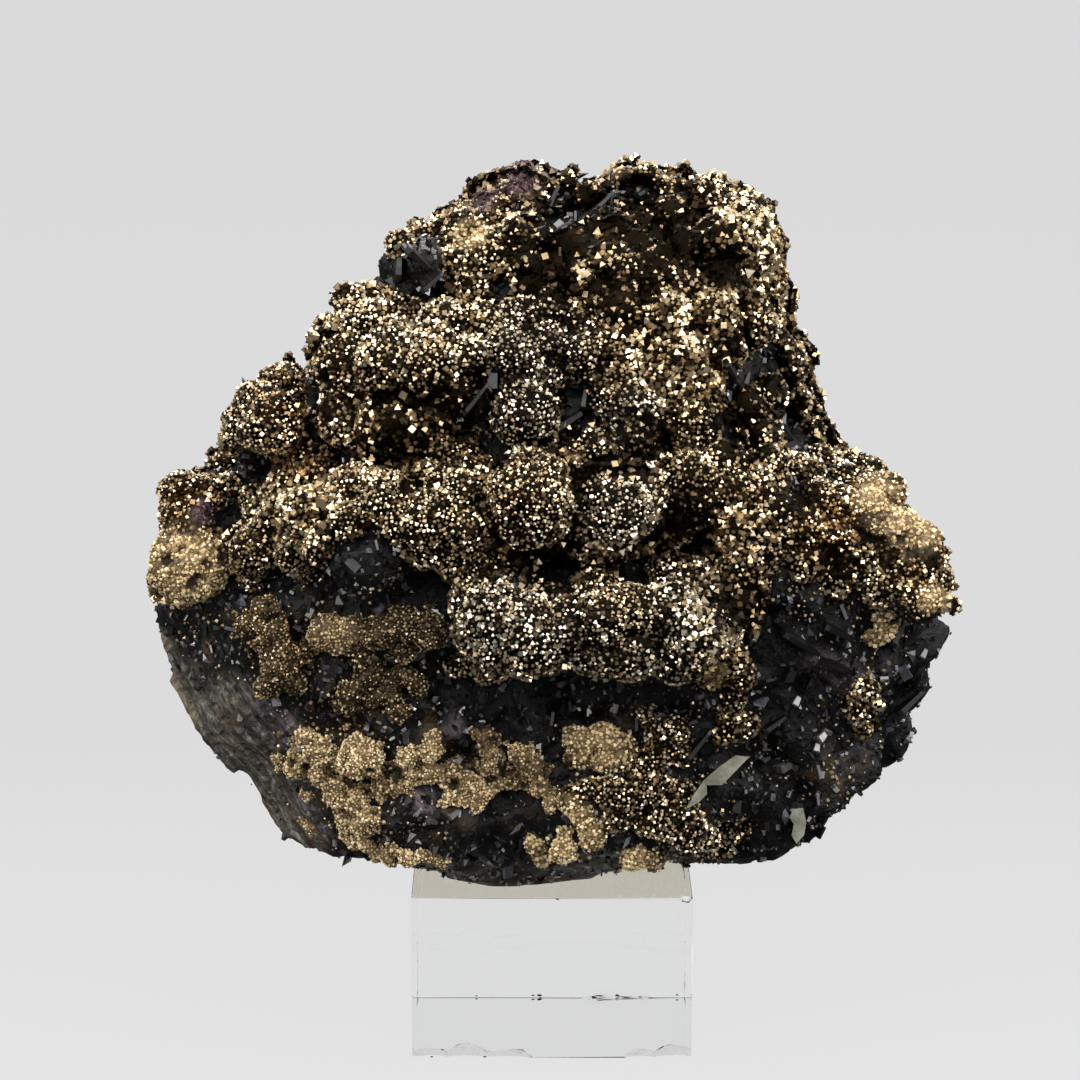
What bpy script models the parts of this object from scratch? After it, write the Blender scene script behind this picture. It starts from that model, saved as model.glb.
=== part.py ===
# Pyrite druse on dark host rock, standing on a clear acrylic display block.
# Metres, +Z up, +X to the right and -Y towards the viewer. The origin is the middle of the block's
# underside. Lists of places and sizes are in millimetres.

import math
import random

import bmesh
import bpy
from mathutils import Euler, Vector, noise
from mathutils.bvhtree import BVHTree

MM = 0.001

# Display block
BLOCK_SIDE = 50.0
BLOCK_HEIGHT = 30.0
BLOCK_BEVEL = 0.5

# Clearance under the rock's seat, clearance that every crust keeps at least, and how far its
# neighbours are grown where a crust is first hollowed, before it is thinned
SEAT_GAP = 0.3
CRUST_GAP = 0.35
HOLLOW_GAP = 1.1
SEAT_HEIGHT = BLOCK_HEIGHT + SEAT_GAP

# The front is read from an eye in front of the specimen and a little above it. A place on the
# front is how far across and how far up it is seen, on a plane at the block's middle.
EYE = Vector((-0.0021, -0.665, 0.237))
EYE_TILT = math.radians(12.5)
SEEN_DISTANCE = 0.6957
SEEN_ACROSS = -0.0021
SEEN_UP = 0.0640

# Meshing: voxel edge of each solid, and the triangles that it keeps
ROCK_VOXEL = 1.4
CRUST_VOXEL = 0.9
ROCK_TRIANGLES = 2200
SMALLEST_PIECE = 90.0
LUMP_SHARE = 0.95

# Host rock: height, left, right, front and back of each level cut
ROCK_LEVELS = [
    (28.5, -15, 11, -18, 17),
    (31.0, -23, 16, -18.5, 21),
    (34.0, -35, 27, -20, 26),
    (37.0, -45, 38, -23, 31),
    (42.0, -52, 49, -27, 34),
    (49.0, -59, 59, -29, 38),
    (57.0, -68, 64, -31, 41),
    (67.0, -72, 66, -32, 43),
    (77.0, -71, 67, -33, 44),
    (87.0, -68, 66, -32, 45),
    (96.0, -63, 58, -30, 44),
    (104.0, -56, 50, -28, 42),
    (112.0, -51, 43, -26, 39),
    (121.0, -41, 41, -23, 36),
    (130.0, -34, 39, -19, 32),
    (138.0, -26, 37, -13, 28),
    (145.0, -19, 33, -6, 24),
    (151.0, -7, 23, 2, 17),
]
LEVEL_POINTS = 40
LEVEL_POWER = 2.5

# Broken faces of the rock, each through three places: across, up and depth
CLEAVED_FACES = [
    ((-75, 48, 2), (-66, 27.5, 3), (-54, 42, -28)),
    ((-67, 29, 3), (-50, 6.5, 4), (-47, 28, -26)),
    ((-60, 24, 30), (-40, 8, 36), (-72, 50, 26)),
    ((68.5, 31, -4), (47, 6.5, 2), (62, 19, -22)),
    ((69, 62, 22), (66, 30, 24), (50, 90, 30)),
    ((20, 60, 44), (-30, 50, 42), (0, 110, 33)),
    ((-58, 90, 18), (-70, 60, 26), (-30, 110, 26)),
]

# Ledges of the rock that stand forward: across, up, depth, half width, half depth, half height
ROCK_LEDGES = [
    (9, 50, -31, 27, 15, 9),
    (-8, 70, -25, 40, 14, 8),
    (12, 16, -25, 17, 13, 9),
    (38, 64, -20, 12, 14, 14),
    (55, 62, -10, 15, 18, 13),
    (-26, 92, -14, 15, 14, 11),
    (-53, 86, -8, 7, 13, 7.5),
    (-65, 67, -5, 6, 14, 8),
    (52, 40, -17, 12, 10, 4),
    (-24, 115, -4, 5.5, 10, 5.5),
    (-33, 108.5, -6, 7, 12, 2),
    (-50, 44, -22, 6, 9, 9),
    (-25, 13, -23, 16, 8, 6),
    (31, 116, 3, 7, 11, 8),
    (46, 14.5, -13, 9, 9, 6.5),
    (31, 10, -12, 12, 9, 5),
]

# Bare lumps of the rock: across, up, radius
ROCK_LUMPS = [
    (-34, 60, 6.5), (-46, 52.5, 4.5), (-39, 57, 3.5), (-28, 57, 3.5), (-41, 38, 4), (-45, 36, 3.5),
    (-24, 33, 4), (-30, 30.5, 3.5), (-12, 35, 5), (-4, 34.5, 5), (6, 36, 4.5), (14, 36, 4),
    (24, 36, 3.5), (-25, 15.5, 3.5), (-30, 12, 3.5), (-14, 12, 4.5), (-8, 13, 4), (-3, 29, 3.5),
    (-17, 28, 3), (40, 47, 4), (45, 44, 4.5), (52, 49, 4.5), (47, 53, 4), (42, 56, 3.5),
    (66, 53, 5), (66, 44, 5.5), (66, 37, 5), (63, 28, 5), (44, 34, 3), (47, 25, 4),
    (49, 22, 4.5), (55, 22, 4), (60, 22, 3.5), (43, 21, 3.5), (33, 18, 5.5), (40, 15, 5),
    (29, 17, 3.5), (51, 15, 4.5), (40, 8.5, 4), (44, 29, 3), (28, 35, 3), (38, 40, 4),
    (-21, 14, 3), (-10, 6.5, 4), (-18, 7.5, 3.5), (0, 5.5, 3), (12, 9.5, 3), (26, 8.5, 2.5),
    (4, 127, 4), (8, 124, 3), (26, 127, 3.5), (-3, 110, 4), (-8, 109, 4), (3, 88, 4),
    (-15, 90, 4), (33, 93, 4), (32, 86, 3.5), (-29, 114, 3.5), (-23, 115, 4), (-25, 110, 3),
]

# Hollows pressed into the rock: across, up, half width, half height, depth
ROCK_HOLLOWS = [
    (4, 127, 8, 5, 9), (-5, 109, 8, 4, 5), (-45, 90, 4, 9, 9), (-54, 77, 5, 4, 8),
    (1, 62, 12, 4.5, 10), (19, 64, 4, 7, 8), (40, 97, 7, 6, 8), (32, 86, 4, 6, 6),
    (45, 86, 3, 5, 6), (4, 88, 5, 6, 5), (-14, 88, 5, 7, 5), (-62, 62, 3, 4, 6),
    (-21, 36, 12, 6, 6), (0, 33, 14, 4, 6), (41, 50, 5, 6, 6), (48, 38, 8, 4, 6),
    (-55, 56, 6, 4, 6), (-67, 45, 6, 6, 5), (-32, 29, 6, 3, 5), (-16, 26, 4, 5, 6),
    (65, 62, 6, 3, 6), (41, 22, 6, 5, 5), (47, 12, 6, 5, 3), (-45, 38, 5, 6, 4),
]

# Pyrite on the front, by region: across, up, radius of each lump
CROWN_LUMPS = [
    (-15.5, 125.5, 3.5), (-12, 128.5, 3.5), (-8, 131, 3.5), (-4, 132, 3), (-16, 121, 4.5), (-18, 118, 3.5),
    (-12, 122, 4), (-17, 114, 4.5), (-11, 116, 5.5), (-5, 119, 5.5), (-14, 110.5, 4), (-4, 113.5, 4.5),
    (-24, 121, 3.5), (-28, 118.5, 2.8), (-20, 122.5, 3), (3, 131.5, 2.5), (8, 132, 3), (13, 132.5, 2.5),
    (19, 132, 3), (21.5, 129, 3.5), (5, 117, 5), (4, 112, 4), (10, 116, 4.5), (10, 121, 4.5),
    (17, 122, 3), (16, 113, 6), (16, 118, 4), (24, 117, 5.5), (22, 123, 4.5), (23, 111, 5),
    (28.5, 127.5, 4), (32, 126, 5), (37, 124, 5), (39, 118, 5), (32, 119, 6), (38, 111, 6),
    (37, 116, 4.5), (34.5, 123, 4), (40, 121, 3.5), (35, 108, 5), (40, 114.5, 4),
    (31, 111, 5.5), (42, 113, 3.5), (41, 106, 5), (13, 106, 5.5), (21, 105, 6), (29, 105, 6),
    (36, 104, 5.5), (15, 99, 5.5), (23, 98, 6), (31, 99, 5), (20, 92, 5.5), (27, 91, 5),
    (43, 100.5, 3.5), (46, 96, 4.5), (46.5, 90, 4), (40, 91, 4), (36, 88.5, 4),
]
SHOULDER_LUMPS = [
    (-37.5, 109, 2.6), (-34, 109.5, 2.4), (-30, 108.5, 2.5), (-39, 103.5, 4.5), (-33, 103.5, 5.5),
    (-26, 103.5, 5.5), (-19, 103.5, 5.5), (-12.5, 103, 5), (-42, 99.5, 3.5), (-38, 96.5, 5.5), (-28, 100.5, 4), (-22, 100.5, 4),
    (-30.5, 96.5, 6.5), (-23, 96.5, 6), (-16, 97, 5), (-37.5, 86.5, 5.5), (-30, 85.5, 6.5),
    (-23, 86, 5.5), (-33, 81, 3.5), (-18, 91, 4), (-17, 84, 3.5), (-6, 104.5, 5), (0, 106, 4.5),
    (5, 104.5, 4), (-7.5, 98, 6), (-1, 99.5, 5), (-9, 92.5, 4), (-3, 93, 5), (-4.5, 87, 6.5),
    (6.5, 98, 5.5), (13, 95, 5), (9.5, 92, 4), (15, 88, 6), (15, 82.5, 4.5), (19.5, 85, 4),
    (26, 86, 5.5), (24, 80.5, 4), (3, 82, 3.5), (8, 81, 3.5), (4.5, 78, 3), (10, 100.5, 4),
]
LEFT_LUMPS = [
    (-50.5, 93.5, 4.5), (-55.5, 90, 4.8), (-58.5, 86, 4.3), (-52, 85.5, 6), (-60.5, 83, 2.8), (-46.5, 85.5, 3.5),
    (-59.8, 78, 2.8), (-58.8, 73.5, 3.2), (-68.3, 72.5, 4.3), (-63.5, 72.5, 4), (-69, 67.8, 3.6),
    (-65.5, 67.5, 3.5), (-54.5, 71.5, 3.2), (-54, 68, 3), (-50.5, 72, 3.5), (-67, 59.5, 7.2),
    (-69.6, 62, 3.8), (-63.5, 57, 4), (-68, 54.8, 3.5), (-47, 81, 3.2), (-41.5, 79, 3.2),
]
MIDDLE_LUMPS = [
    (-48, 74, 4.5), (-43, 76, 3.8), (-46, 69, 4.8), (-50.5, 68.5, 3.5), (-36, 72.5, 5.5), (-30.5, 71, 5.5),
    (-37, 67.5, 4), (-28, 67.5, 4.5), (-21.5, 74, 5), (-16, 72.5, 5), (-22.5, 68, 6), (-16, 66, 5),
    (-24, 62.5, 3.8), (-18.5, 61.5, 4), (-22, 79.5, 3.5), (-16.5, 78.5, 3.8), (-11.8, 76, 3.5),
    (-3.8, 72, 8.2), (-4.5, 66, 6), (12.5, 70, 8), (6, 65.5, 4.5), (6, 73, 4), (17.5, 73.5, 4),
    (17, 67, 4.5), (12, 64, 4), (26, 75.5, 5), (28, 71, 4), (22.5, 77, 3.5), (24, 67.5, 3.5),
    (-54.5, 62, 5), (-54.5, 57.5, 3.2), (-46.5, 62, 4.6), (-42, 62.5, 3.5), (-44.5, 58.5, 2.8),
]
RIGHT_LUMPS = [
    (32, 78, 4.5), (38.5, 83, 4.5), (40.5, 78, 4), (33.5, 72.5, 5), (37.5, 73, 4.8), (41, 69, 4.3),
    (35.5, 66.5, 5.5), (40.5, 64.5, 4.3), (36.5, 60.5, 4.8), (33.5, 57, 3.8), (38, 56, 3.3),
    (46, 75.5, 4.8), (49.5, 79, 3), (49.5, 70.5, 5), (46.5, 66, 4.5), (53, 69.5, 5), (51, 64, 5.5),
    (56, 64, 4.5), (47, 60, 4), (57, 59, 4), (60.5, 55, 3.6), (52, 57.5, 4), (54.5, 79, 4.5),
    (59, 77, 4), (54, 74.5, 4), (61, 72.5, 4.3), (58, 69.5, 4.3), (65, 67, 4.3), (69, 65.5, 3.5),
    (61, 66, 4), (67.5, 59.5, 5), (71, 56.5, 3.4), (70, 52.5, 3), (47.5, 84, 3.2),
]
SHELF_LUMPS = [
    (-12, 58.8, 4.5), (-7.5, 56.5, 3.8), (-14.5, 52.5, 4.5), (-10.5, 49.5, 6.8), (-14, 46.5, 4), (-4.5, 52, 5.5),
    (-4, 44.8, 6), (-9.5, 43.8, 5), (2, 46.5, 6), (3.5, 51.5, 4.5), (8.5, 54.5, 4.5), (9.5, 49.5, 6),
    (8, 43.8, 5), (15.5, 50.5, 5.5), (14.5, 44, 6), (19.5, 46.5, 4.5), (24, 56, 6), (25.5, 60.2, 4),
    (20.5, 58, 3.6), (21.5, 51, 5.5), (29.5, 53, 5.5), (26.5, 46, 6.3), (22.5, 41.5, 4), (31.5, 48, 4),
    (33.5, 52.5, 4.3), (35.5, 49, 3), (32.5, 42.5, 3.8), (35, 39.5, 3.2), (29.5, 39.3, 3), (-17.5, 41, 2.4),
    (-14.5, 41.5, 2.8), (-12, 39.6, 2.4), (33.5, 35.3, 2.8), (33, 31.5, 2.6), (36, 29.8, 2.6), (31.8, 28.5, 2.4),
]
BASIN_LUMPS = [
    (-41, 47, 4.5), (-36.5, 46.5, 4), (-32, 47, 4), (-27, 48.5, 4.3), (-22.5, 47.5, 4.3), (-53, 51, 3.2),
    (-51.5, 46.5, 4), (-50, 42, 4.6), (-52, 37.5, 3.2), (-47.8, 38, 2.8), (-35.5, 42.5, 2.5), (-34, 39.5, 3),
    (-31, 38, 2.8), (-29.5, 35.5, 3), (-27.2, 39, 2.6), (-27, 43, 2.4), (-24.5, 37.5, 2.2), (-37.3, 36, 3),
    (-33.2, 35.5, 3), (-38.6, 33.8, 2.3), (-28.8, 32.2, 2.2), (-56.5, 48, 2.4), (-45.5, 43.5, 2.6),
]
LACE_LUMPS = [
    (-45.2, 27.3, 2.4), (-43.3, 25, 3.2), (-46.5, 22.7, 3.2), (-42.5, 21.3, 3), (-50, 23.6, 2), (-35, 24, 4.9),
    (-38.8, 19.5, 2.8), (-39.2, 16.5, 3.2), (-36, 15.5, 2.6), (-34.3, 17.8, 2), (-31, 18.8, 2.6),
    (-28, 19.5, 2.8), (-25, 20.5, 2.5), (-22, 21, 2.2), (-26.8, 23.8, 2.3), (-22, 25, 2.3), (-21.5, 27.5, 1.9),
    (-18.2, 21, 2.6), (-15.8, 19, 3), (-13, 18, 2.8), (-13.6, 15.3, 2), (-18.5, 16.8, 1.9), (-12.2, 28, 2.1),
    (-11.6, 25.2, 2.1), (-11.2, 22.3, 2.3), (-10, 19.8, 2.3), (-37.6, 12.8, 3), (-36.6, 9.8, 3),
    (-34, 8.4, 2.4), (-42.8, 11, 2.8), (-43.5, 14.4, 2), (-39.8, 8.2, 2.4), (-33, 13.2, 2.2),
    (-5.2, 24, 3.3), (-3, 21.5, 2.8), (-6.6, 20.3, 2.4), (-2, 18.3, 2.1), (0, 16, 2), (-38.5, 22.5, 2.6),
]
FOOT_LUMPS = [
    (4.8, 27.3, 3.4), (9.3, 27.6, 3.6), (13, 26, 3), (4.6, 23.8, 2.5), (9.5, 23, 3), (14.5, 22.7, 2.6),
    (22.5, 29, 3.4), (20.5, 25, 3.5), (17.5, 21.6, 3.5), (24, 24.2, 2.8), (19.2, 29, 2), (17, 32, 1.8),
    (3, 16, 3), (7, 17.6, 3.2), (11.2, 17.4, 3.8), (15.3, 16.4, 4), (19.6, 17.6, 3.8), (12, 12.6, 3),
    (17.6, 12, 3.3), (22.3, 13.6, 3.3), (24.3, 17.4, 2.8), (26.3, 12, 2.8), (5.8, 13.2, 3), (7.6, 9.6, 3.3),
    (-3, 8.3, 2.5), (-1.8, 5.6, 2.4), (2.3, 7, 3.2), (21, 10, 2.3), (24.3, 8.6, 2.4), (29, 9.2, 2.8),
    (32.2, 10.2, 3.2), (35.2, 11, 2.3), (31, 7.3, 2.8), (27.8, 6.3, 1.9), (15.5, 6, 3.6), (19, 5.4, 3),
]
KNOB_LUMPS = [
    (57.8, 36, 3.5), (57, 32.5, 3.4), (60, 33.8, 2.6), (57.6, 28.8, 2.4),
]
OCHRE_KNOB_LUMPS = [
    (61.6, 47.6, 3.8), (60.3, 46.2, 3.0),
]

# Pyrite out of the front's sight: middle of each patch as a direction from the rock's middle,
# its half angle in degrees, how many lumps, and their smallest and largest radius
CROWN_PATCH = ((0.15, 0.42, 1.0), 32, 60, 3.0, 5.0)
RIGHT_PATCH = ((1.0, 0.30, 0.25), 24, 34, 3.0, 4.8)
LEFT_PATCH = ((-1.0, 0.28, 0.16), 19, 26, 3.0, 4.6)
BACK_PATCH = ((-0.25, 1.0, 0.15), 20, 24, 3.5, 6.0)
LOW_BACK_PATCH = ((0.55, 1.0, -0.35), 12, 10, 3.0, 5.0)

# Each crust: its front lumps with their range of squareness and lift, its hidden patches and the
# triangles that it keeps, then its finish
CRUSTS = {
    "pyrite_crust": ((
        [
            (CROWN_LUMPS, (2.2, 3.2), 0.2),
            (SHOULDER_LUMPS, (2.4, 3.8), 0.25),
            (LEFT_LUMPS, (2.4, 3.6), 0.2),
            (MIDDLE_LUMPS, (2.6, 4.2), 0.35),
            (RIGHT_LUMPS, (2.2, 3.4), 0.2),
            (SHELF_LUMPS, (2.2, 3.2), 0.3),
        ],
        [CROWN_PATCH, RIGHT_PATCH, LEFT_PATCH], 3450), "pyrite"),
    "pyrite_basin": (([(BASIN_LUMPS, (2.2, 3.0), 0.5)], [], 400), "ochre_pyrite"),
    "pyrite_lace": (([(LACE_LUMPS, (2.0, 2.6), 0.6)], [], 700), "ochre_pyrite"),
    "pyrite_foot": (([(FOOT_LUMPS, (2.2, 3.0), 0.5)], [], 520), "pyrite"),
    "pyrite_knob": (([(KNOB_LUMPS, (2.0, 2.6), 0.8)], [], 90), "pyrite"),
    "ochre_knob": (([(OCHRE_KNOB_LUMPS, (2.0, 2.6), 0.9)], [], 50), "ochre_pyrite"),
    "pyrite_back": (([], [BACK_PATCH], 240), "pyrite"),
    "pyrite_low_back": (([], [LOW_BACK_PATCH], 110), "pyrite"),
}
ROCK_MIDDLE = Vector((0.0, 0.006, 0.088))

# Dark blade crystals that grow from the rock: across, up, length, width, turn, lean
BLADES = [
    (13, 131, 9, 2.2, 30, 20), (16, 128.5, 9, 2.0, -35, 25), (17, 126, 8, 1.8, 35, 10), (24, 129, 7, 2.0, 5, 30),
    (2, 122, 6, 2.4, 40, 15), (22, 117.5, 8, 1.0, 10, 5), (-28, 115.5, 6.5, 2.0, 88, 10),
    (-24.5, 116, 6, 2.0, -45, 15), (-22, 111.5, 5, 1.5, 40, 10), (-29.5, 109, 7, 1.2, 10, 20),
    (-14, 90, 9, 2.8, 50, 12), (-12, 95.5, 6, 2.2, 70, 15), (3, 86, 5.5, 2.2, 30, 10), (6, 90, 4, 1.6, 80, 20),
    (40.5, 99.5, 8.5, 1.6, -48, 15), (34, 94, 5, 1.8, -60, 20), (38, 95, 5, 2.0, 70, 30),
    (46, 45, 8, 1.8, -35, 15), (52, 41, 9, 2.0, -25, 15), (43, 48, 6, 1.6, -50, 20), (41, 30, 5, 1.6, 30, 20),
    (53, 47, 6, 1.8, -30, 10), (64, 47, 6, 2.0, 60, 20), (66, 34, 6, 2.0, 40, 15), (27, 26, 7, 1.6, 50, 10),
]
BLADE_LEAST_WIDTH = 2.0

# Two pale crystals: outline as seen, thickness, how far they stand off the nearest rock, and the
# least volume in cubic millimetres that is kept
PALE_LEAF_OUTLINE = [
    (36.5, 24.0), (34.0, 24.3), (31.0, 22.2), (28.0, 19.6), (26.4, 17.2), (24.8, 14.4),
    (27.2, 15.6), (28.7, 17.2), (28.6, 18.8), (31.4, 18.8), (33.2, 20.6),
]
PALE_SPIKE_OUTLINE = [
    (46.4, 14.6), (44.6, 14.4), (43.9, 12.8), (44.7, 11.6), (44.3, 9.6), (45.2, 8.0), (46.6, 9.6), (47.0, 12.0),
]
PALE_THICKNESS = 6.5
PALE_STAND_OFF = 4.2
PALE_LEAST_VOLUME = 8.0

# Chips along the block's lower edges: middle and half sizes
BLOCK_CHIPS = [
    ((-22.0, -25.0, 0.0), (4.0, 1.6, 2.0)),
    ((-15.5, -25.0, 0.0), (4.0, 1.5, 2.8)),
    ((-8.0, -25.0, 0.0), (5.0, 1.2, 1.6)),
    ((16.0, -25.0, 0.0), (3.2, 1.2, 1.8)),
    ((22.0, -25.0, 0.0), (4.2, 1.6, 2.4)),
    ((12.0, 25.0, 0.0), (7.0, 1.5, 1.8)),
    ((23.8, -24.6, 30.0), (1.0, 0.8, 0.9)),
]

# Colours from the photograph: base colour, roughness, metallic, transmission, index of refraction
FINISHES = {
    "pyrite": ((0.50, 0.36, 0.17), 0.32, 0.9, 0.0, 1.5),
    "ochre_pyrite": ((0.46, 0.29, 0.12), 0.60, 0.4, 0.0, 1.5),
    "dark_rock": ((0.022, 0.021, 0.022), 0.42, 0.0, 0.0, 1.6),
    "pale_crystal": ((0.34, 0.35, 0.27), 0.30, 0.0, 0.0, 1.6),
    "clear_acrylic": ((0.95, 0.96, 0.95), 0.02, 0.0, 1.0, 1.49),
}


def sight_line(across, up):
    """Direction from the eye to a place on the front, not of unit length."""
    ahead = Vector((0.0, math.cos(EYE_TILT), -math.sin(EYE_TILT)))
    above = Vector((0.0, math.sin(EYE_TILT), math.cos(EYE_TILT)))
    side = (across * MM - SEEN_ACROSS) / SEEN_DISTANCE
    rise = (up * MM - SEEN_UP) / SEEN_DISTANCE
    return ahead + above * rise + Vector((side, 0.0, 0.0))


def place(across, up, depth):
    """Point at a depth along Y that is seen at a place on the front."""
    line = sight_line(across, up)
    return EYE + line * ((depth * MM - EYE.y) / line.y)


def seen_at(point):
    """Place on the front, in millimetres, where a point is seen."""
    offset = point - EYE
    ahead = Vector((0.0, math.cos(EYE_TILT), -math.sin(EYE_TILT)))
    above = Vector((0.0, math.sin(EYE_TILT), math.cos(EYE_TILT)))
    distance = offset.dot(ahead)
    across = offset.x / distance * SEEN_DISTANCE + SEEN_ACROSS
    up = offset.dot(above) / distance * SEEN_DISTANCE + SEEN_UP
    return across / MM, up / MM


def make_material(name):
    """Principled material of one finish."""
    colour, roughness, metallic, transmission, refraction = FINISHES[name]
    material = bpy.data.materials.new(name)
    material.use_nodes = True
    shader = material.node_tree.nodes["Principled BSDF"]
    shader.inputs["Base Color"].default_value = (*colour, 1.0)
    shader.inputs["Roughness"].default_value = roughness
    shader.inputs["Metallic"].default_value = metallic
    shader.inputs["Transmission Weight"].default_value = transmission
    shader.inputs["IOR"].default_value = refraction
    material.diffuse_color = (*colour, 1.0)
    return material


def new_object(name, bm):
    """Object from a bmesh, linked to the scene."""
    mesh = bpy.data.meshes.new(name)
    bm.to_mesh(mesh)
    bm.free()
    obj = bpy.data.objects.new(name, mesh)
    bpy.context.scene.collection.objects.link(obj)
    return obj


def settle(obj):
    """Replace an object's mesh by what its modifiers make of it."""
    depsgraph = bpy.context.evaluated_depsgraph_get()
    mesh = bpy.data.meshes.new_from_object(obj.evaluated_get(depsgraph))
    old = obj.data
    obj.modifiers.clear()
    obj.data = mesh
    bpy.data.meshes.remove(old)


def voxel_remesh(obj, voxel, smoothing):
    """Merge an object's overlapping shells into one skin."""
    remesh = obj.modifiers.new("Remesh", "REMESH")
    remesh.mode = "VOXEL"
    remesh.voxel_size = voxel * MM
    smooth = obj.modifiers.new("Smooth", "SMOOTH")
    smooth.factor = 0.5
    smooth.iterations = smoothing
    settle(obj)


def decimate(obj, triangles):
    """Thin an object's mesh to a number of triangles."""
    faces = sum(len(polygon.vertices) - 2 for polygon in obj.data.polygons)
    thin = obj.modifiers.new("Decimate", "DECIMATE")
    thin.ratio = min(1.0, triangles / faces)
    thin.use_collapse_triangulate = True
    settle(obj)


def boolean(obj, other, operation, solver="EXACT"):
    """Boolean of two closed objects; the other one is removed."""
    cut = obj.modifiers.new("Boolean", "BOOLEAN")
    cut.operation = operation
    cut.solver = solver
    cut.object = other
    settle(obj)
    bpy.data.objects.remove(other)


def surface_tree(obj):
    """Search tree of an object's mesh."""
    bm = bmesh.new()
    bm.from_mesh(obj.data)
    tree = BVHTree.FromBMesh(bm)
    bm.free()
    return tree


def add_lump(bm, centre, radii, power, turn, detail=3):
    """Rounded lump: a sphere at power 2, boxier as the power grows."""
    verts = bmesh.ops.create_icosphere(bm, subdivisions=detail, radius=1.0)["verts"]
    spin = turn.to_matrix()
    for vert in verts:
        x, y, z = vert.co
        reach = (abs(x) ** power + abs(y) ** power + abs(z) ** power) ** (1.0 / power)
        unit = vert.co / reach
        unit *= 1.0 + 0.10 * noise.noise(vert.co * 1.7 + centre * 300.0)
        scaled = Vector((unit.x * radii[0], unit.y * radii[1], unit.z * radii[2]))
        vert.co = centre + spin @ scaled


def level_ring(bm, level):
    """Ring of points round one level of the host rock."""
    height, left, right, front, back = level
    ring = []
    for index in range(LEVEL_POINTS):
        angle = 2.0 * math.pi * index / LEVEL_POINTS
        cosine = math.cos(angle)
        sine = math.sin(angle)
        x = math.copysign(abs(cosine) ** (2.0 / LEVEL_POWER), cosine)
        y = math.copysign(abs(sine) ** (2.0 / LEVEL_POWER), sine)
        x = (left + right) / 2.0 + x * (right - left) / 2.0
        y = (front + back) / 2.0 + y * (back - front) / 2.0
        ring.append(bm.verts.new((x * MM, y * MM, height * MM)))
    return ring


def rock_mass(bm):
    """Closed body through the rock's level cuts."""
    rings = [level_ring(bm, level) for level in ROCK_LEVELS]
    for lower, upper in zip(rings, rings[1:]):
        for index in range(LEVEL_POINTS):
            following = (index + 1) % LEVEL_POINTS
            bm.faces.new((lower[index], lower[following], upper[following], upper[index]))
    bm.faces.new(list(reversed(rings[0])))
    bm.faces.new(rings[-1])


def cleave(bm, corners):
    """Press everything beyond a plane back onto it, as a broken face."""
    first, second, third = (place(*corner) for corner in corners)
    normal = (second - first).cross(third - first).normalized()
    if normal.dot(first - ROCK_MIDDLE) < 0.0:
        normal.negate()
    for vert in bm.verts:
        beyond = (vert.co - first).dot(normal)
        if beyond > 0.0:
            vert.co -= normal * beyond * 0.92


def hollow(bm, dent):
    """Press a hollow into the front of the rock, along the line of sight."""
    across, up, half_width, half_height, depth = dent
    push = sight_line(across, up).normalized()
    for vert in bm.verts:
        if vert.normal.dot(push) > 0.15:
            continue
        seen_across, seen_up = seen_at(vert.co)
        reach = math.hypot((seen_across - across) / half_width, (seen_up - up) / half_height)
        if reach < 1.5:
            share = 1.0 - reach / 1.5
            vert.co += push * depth * MM * share * share * (3.0 - 2.0 * share)


def roughen(bm, coarse, fine):
    """Uneven broken surface, coarse and fine, along the normals."""
    for vert in bm.verts:
        swell = noise.noise(vert.co * 70.0) * coarse
        grain = noise.noise(vert.co * 190.0 + Vector((5.0, 2.0, 9.0))) * fine
        vert.co += vert.normal * (swell + grain) * MM


def build_rock(rng):
    """Host rock with its ledges, broken faces, hollows and bare lumps."""
    bm = bmesh.new()
    rock_mass(bm)
    for across, up, depth, half_x, half_y, half_z in ROCK_LEDGES:
        turn = Euler([rng.uniform(-0.2, 0.2) for _ in range(3)])
        add_lump(bm, place(across, up, depth), (half_x * MM, half_y * MM, half_z * MM), 2.8, turn)
    rock = new_object("matrix_rock", bm)
    voxel_remesh(rock, ROCK_VOXEL, 2)

    bm = bmesh.new()
    bm.from_mesh(rock.data)
    bm.normal_update()
    roughen(bm, 2.6, 1.0)
    for corners in CLEAVED_FACES:
        cleave(bm, corners)
    bm.normal_update()
    for dent in ROCK_HOLLOWS:
        hollow(bm, dent)
    bm.to_mesh(rock.data)
    tree = BVHTree.FromBMesh(bm)
    for across, up, radius in ROCK_LUMPS:
        power = rng.uniform(2.2, 3.6)
        centre = seat(tree, across, up, radius, 0.2)
        turn = Euler([rng.uniform(0.0, 3.1) for _ in range(3)])
        add_lump(bm, centre, (radius * MM, radius * 0.8 * MM, radius * 0.9 * MM), power, turn)
    bm.to_mesh(rock.data)
    bm.free()
    voxel_remesh(rock, ROCK_VOXEL, 1)
    return rock


def seat(tree, across, up, radius, lift, rim_depth=4.0):
    """Middle of a lump that sits on the surface seen at a place on the front."""
    line = sight_line(across, up).normalized()
    hit = tree.ray_cast(EYE, line)[0]
    if hit is None:
        return tree.find_nearest(place(across, up, rim_depth))[0]
    return hit - line * radius * lift * MM


def add_front_lumps(bm, tree, lumps, rng, power_range, lift):
    """Lumps of pyrite seated on the front of the rock."""
    for across, up, radius in lumps:
        centre = seat(tree, across, up, radius, lift)
        power = rng.uniform(*power_range)
        turn = Euler((rng.uniform(-0.5, 0.5), rng.uniform(-0.6, 0.6), rng.uniform(-0.6, 0.6)))
        radii = [radius * LUMP_SHARE * rng.uniform(0.92, 1.08) * MM for _ in range(3)]
        add_lump(bm, centre, radii, power, turn)


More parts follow.
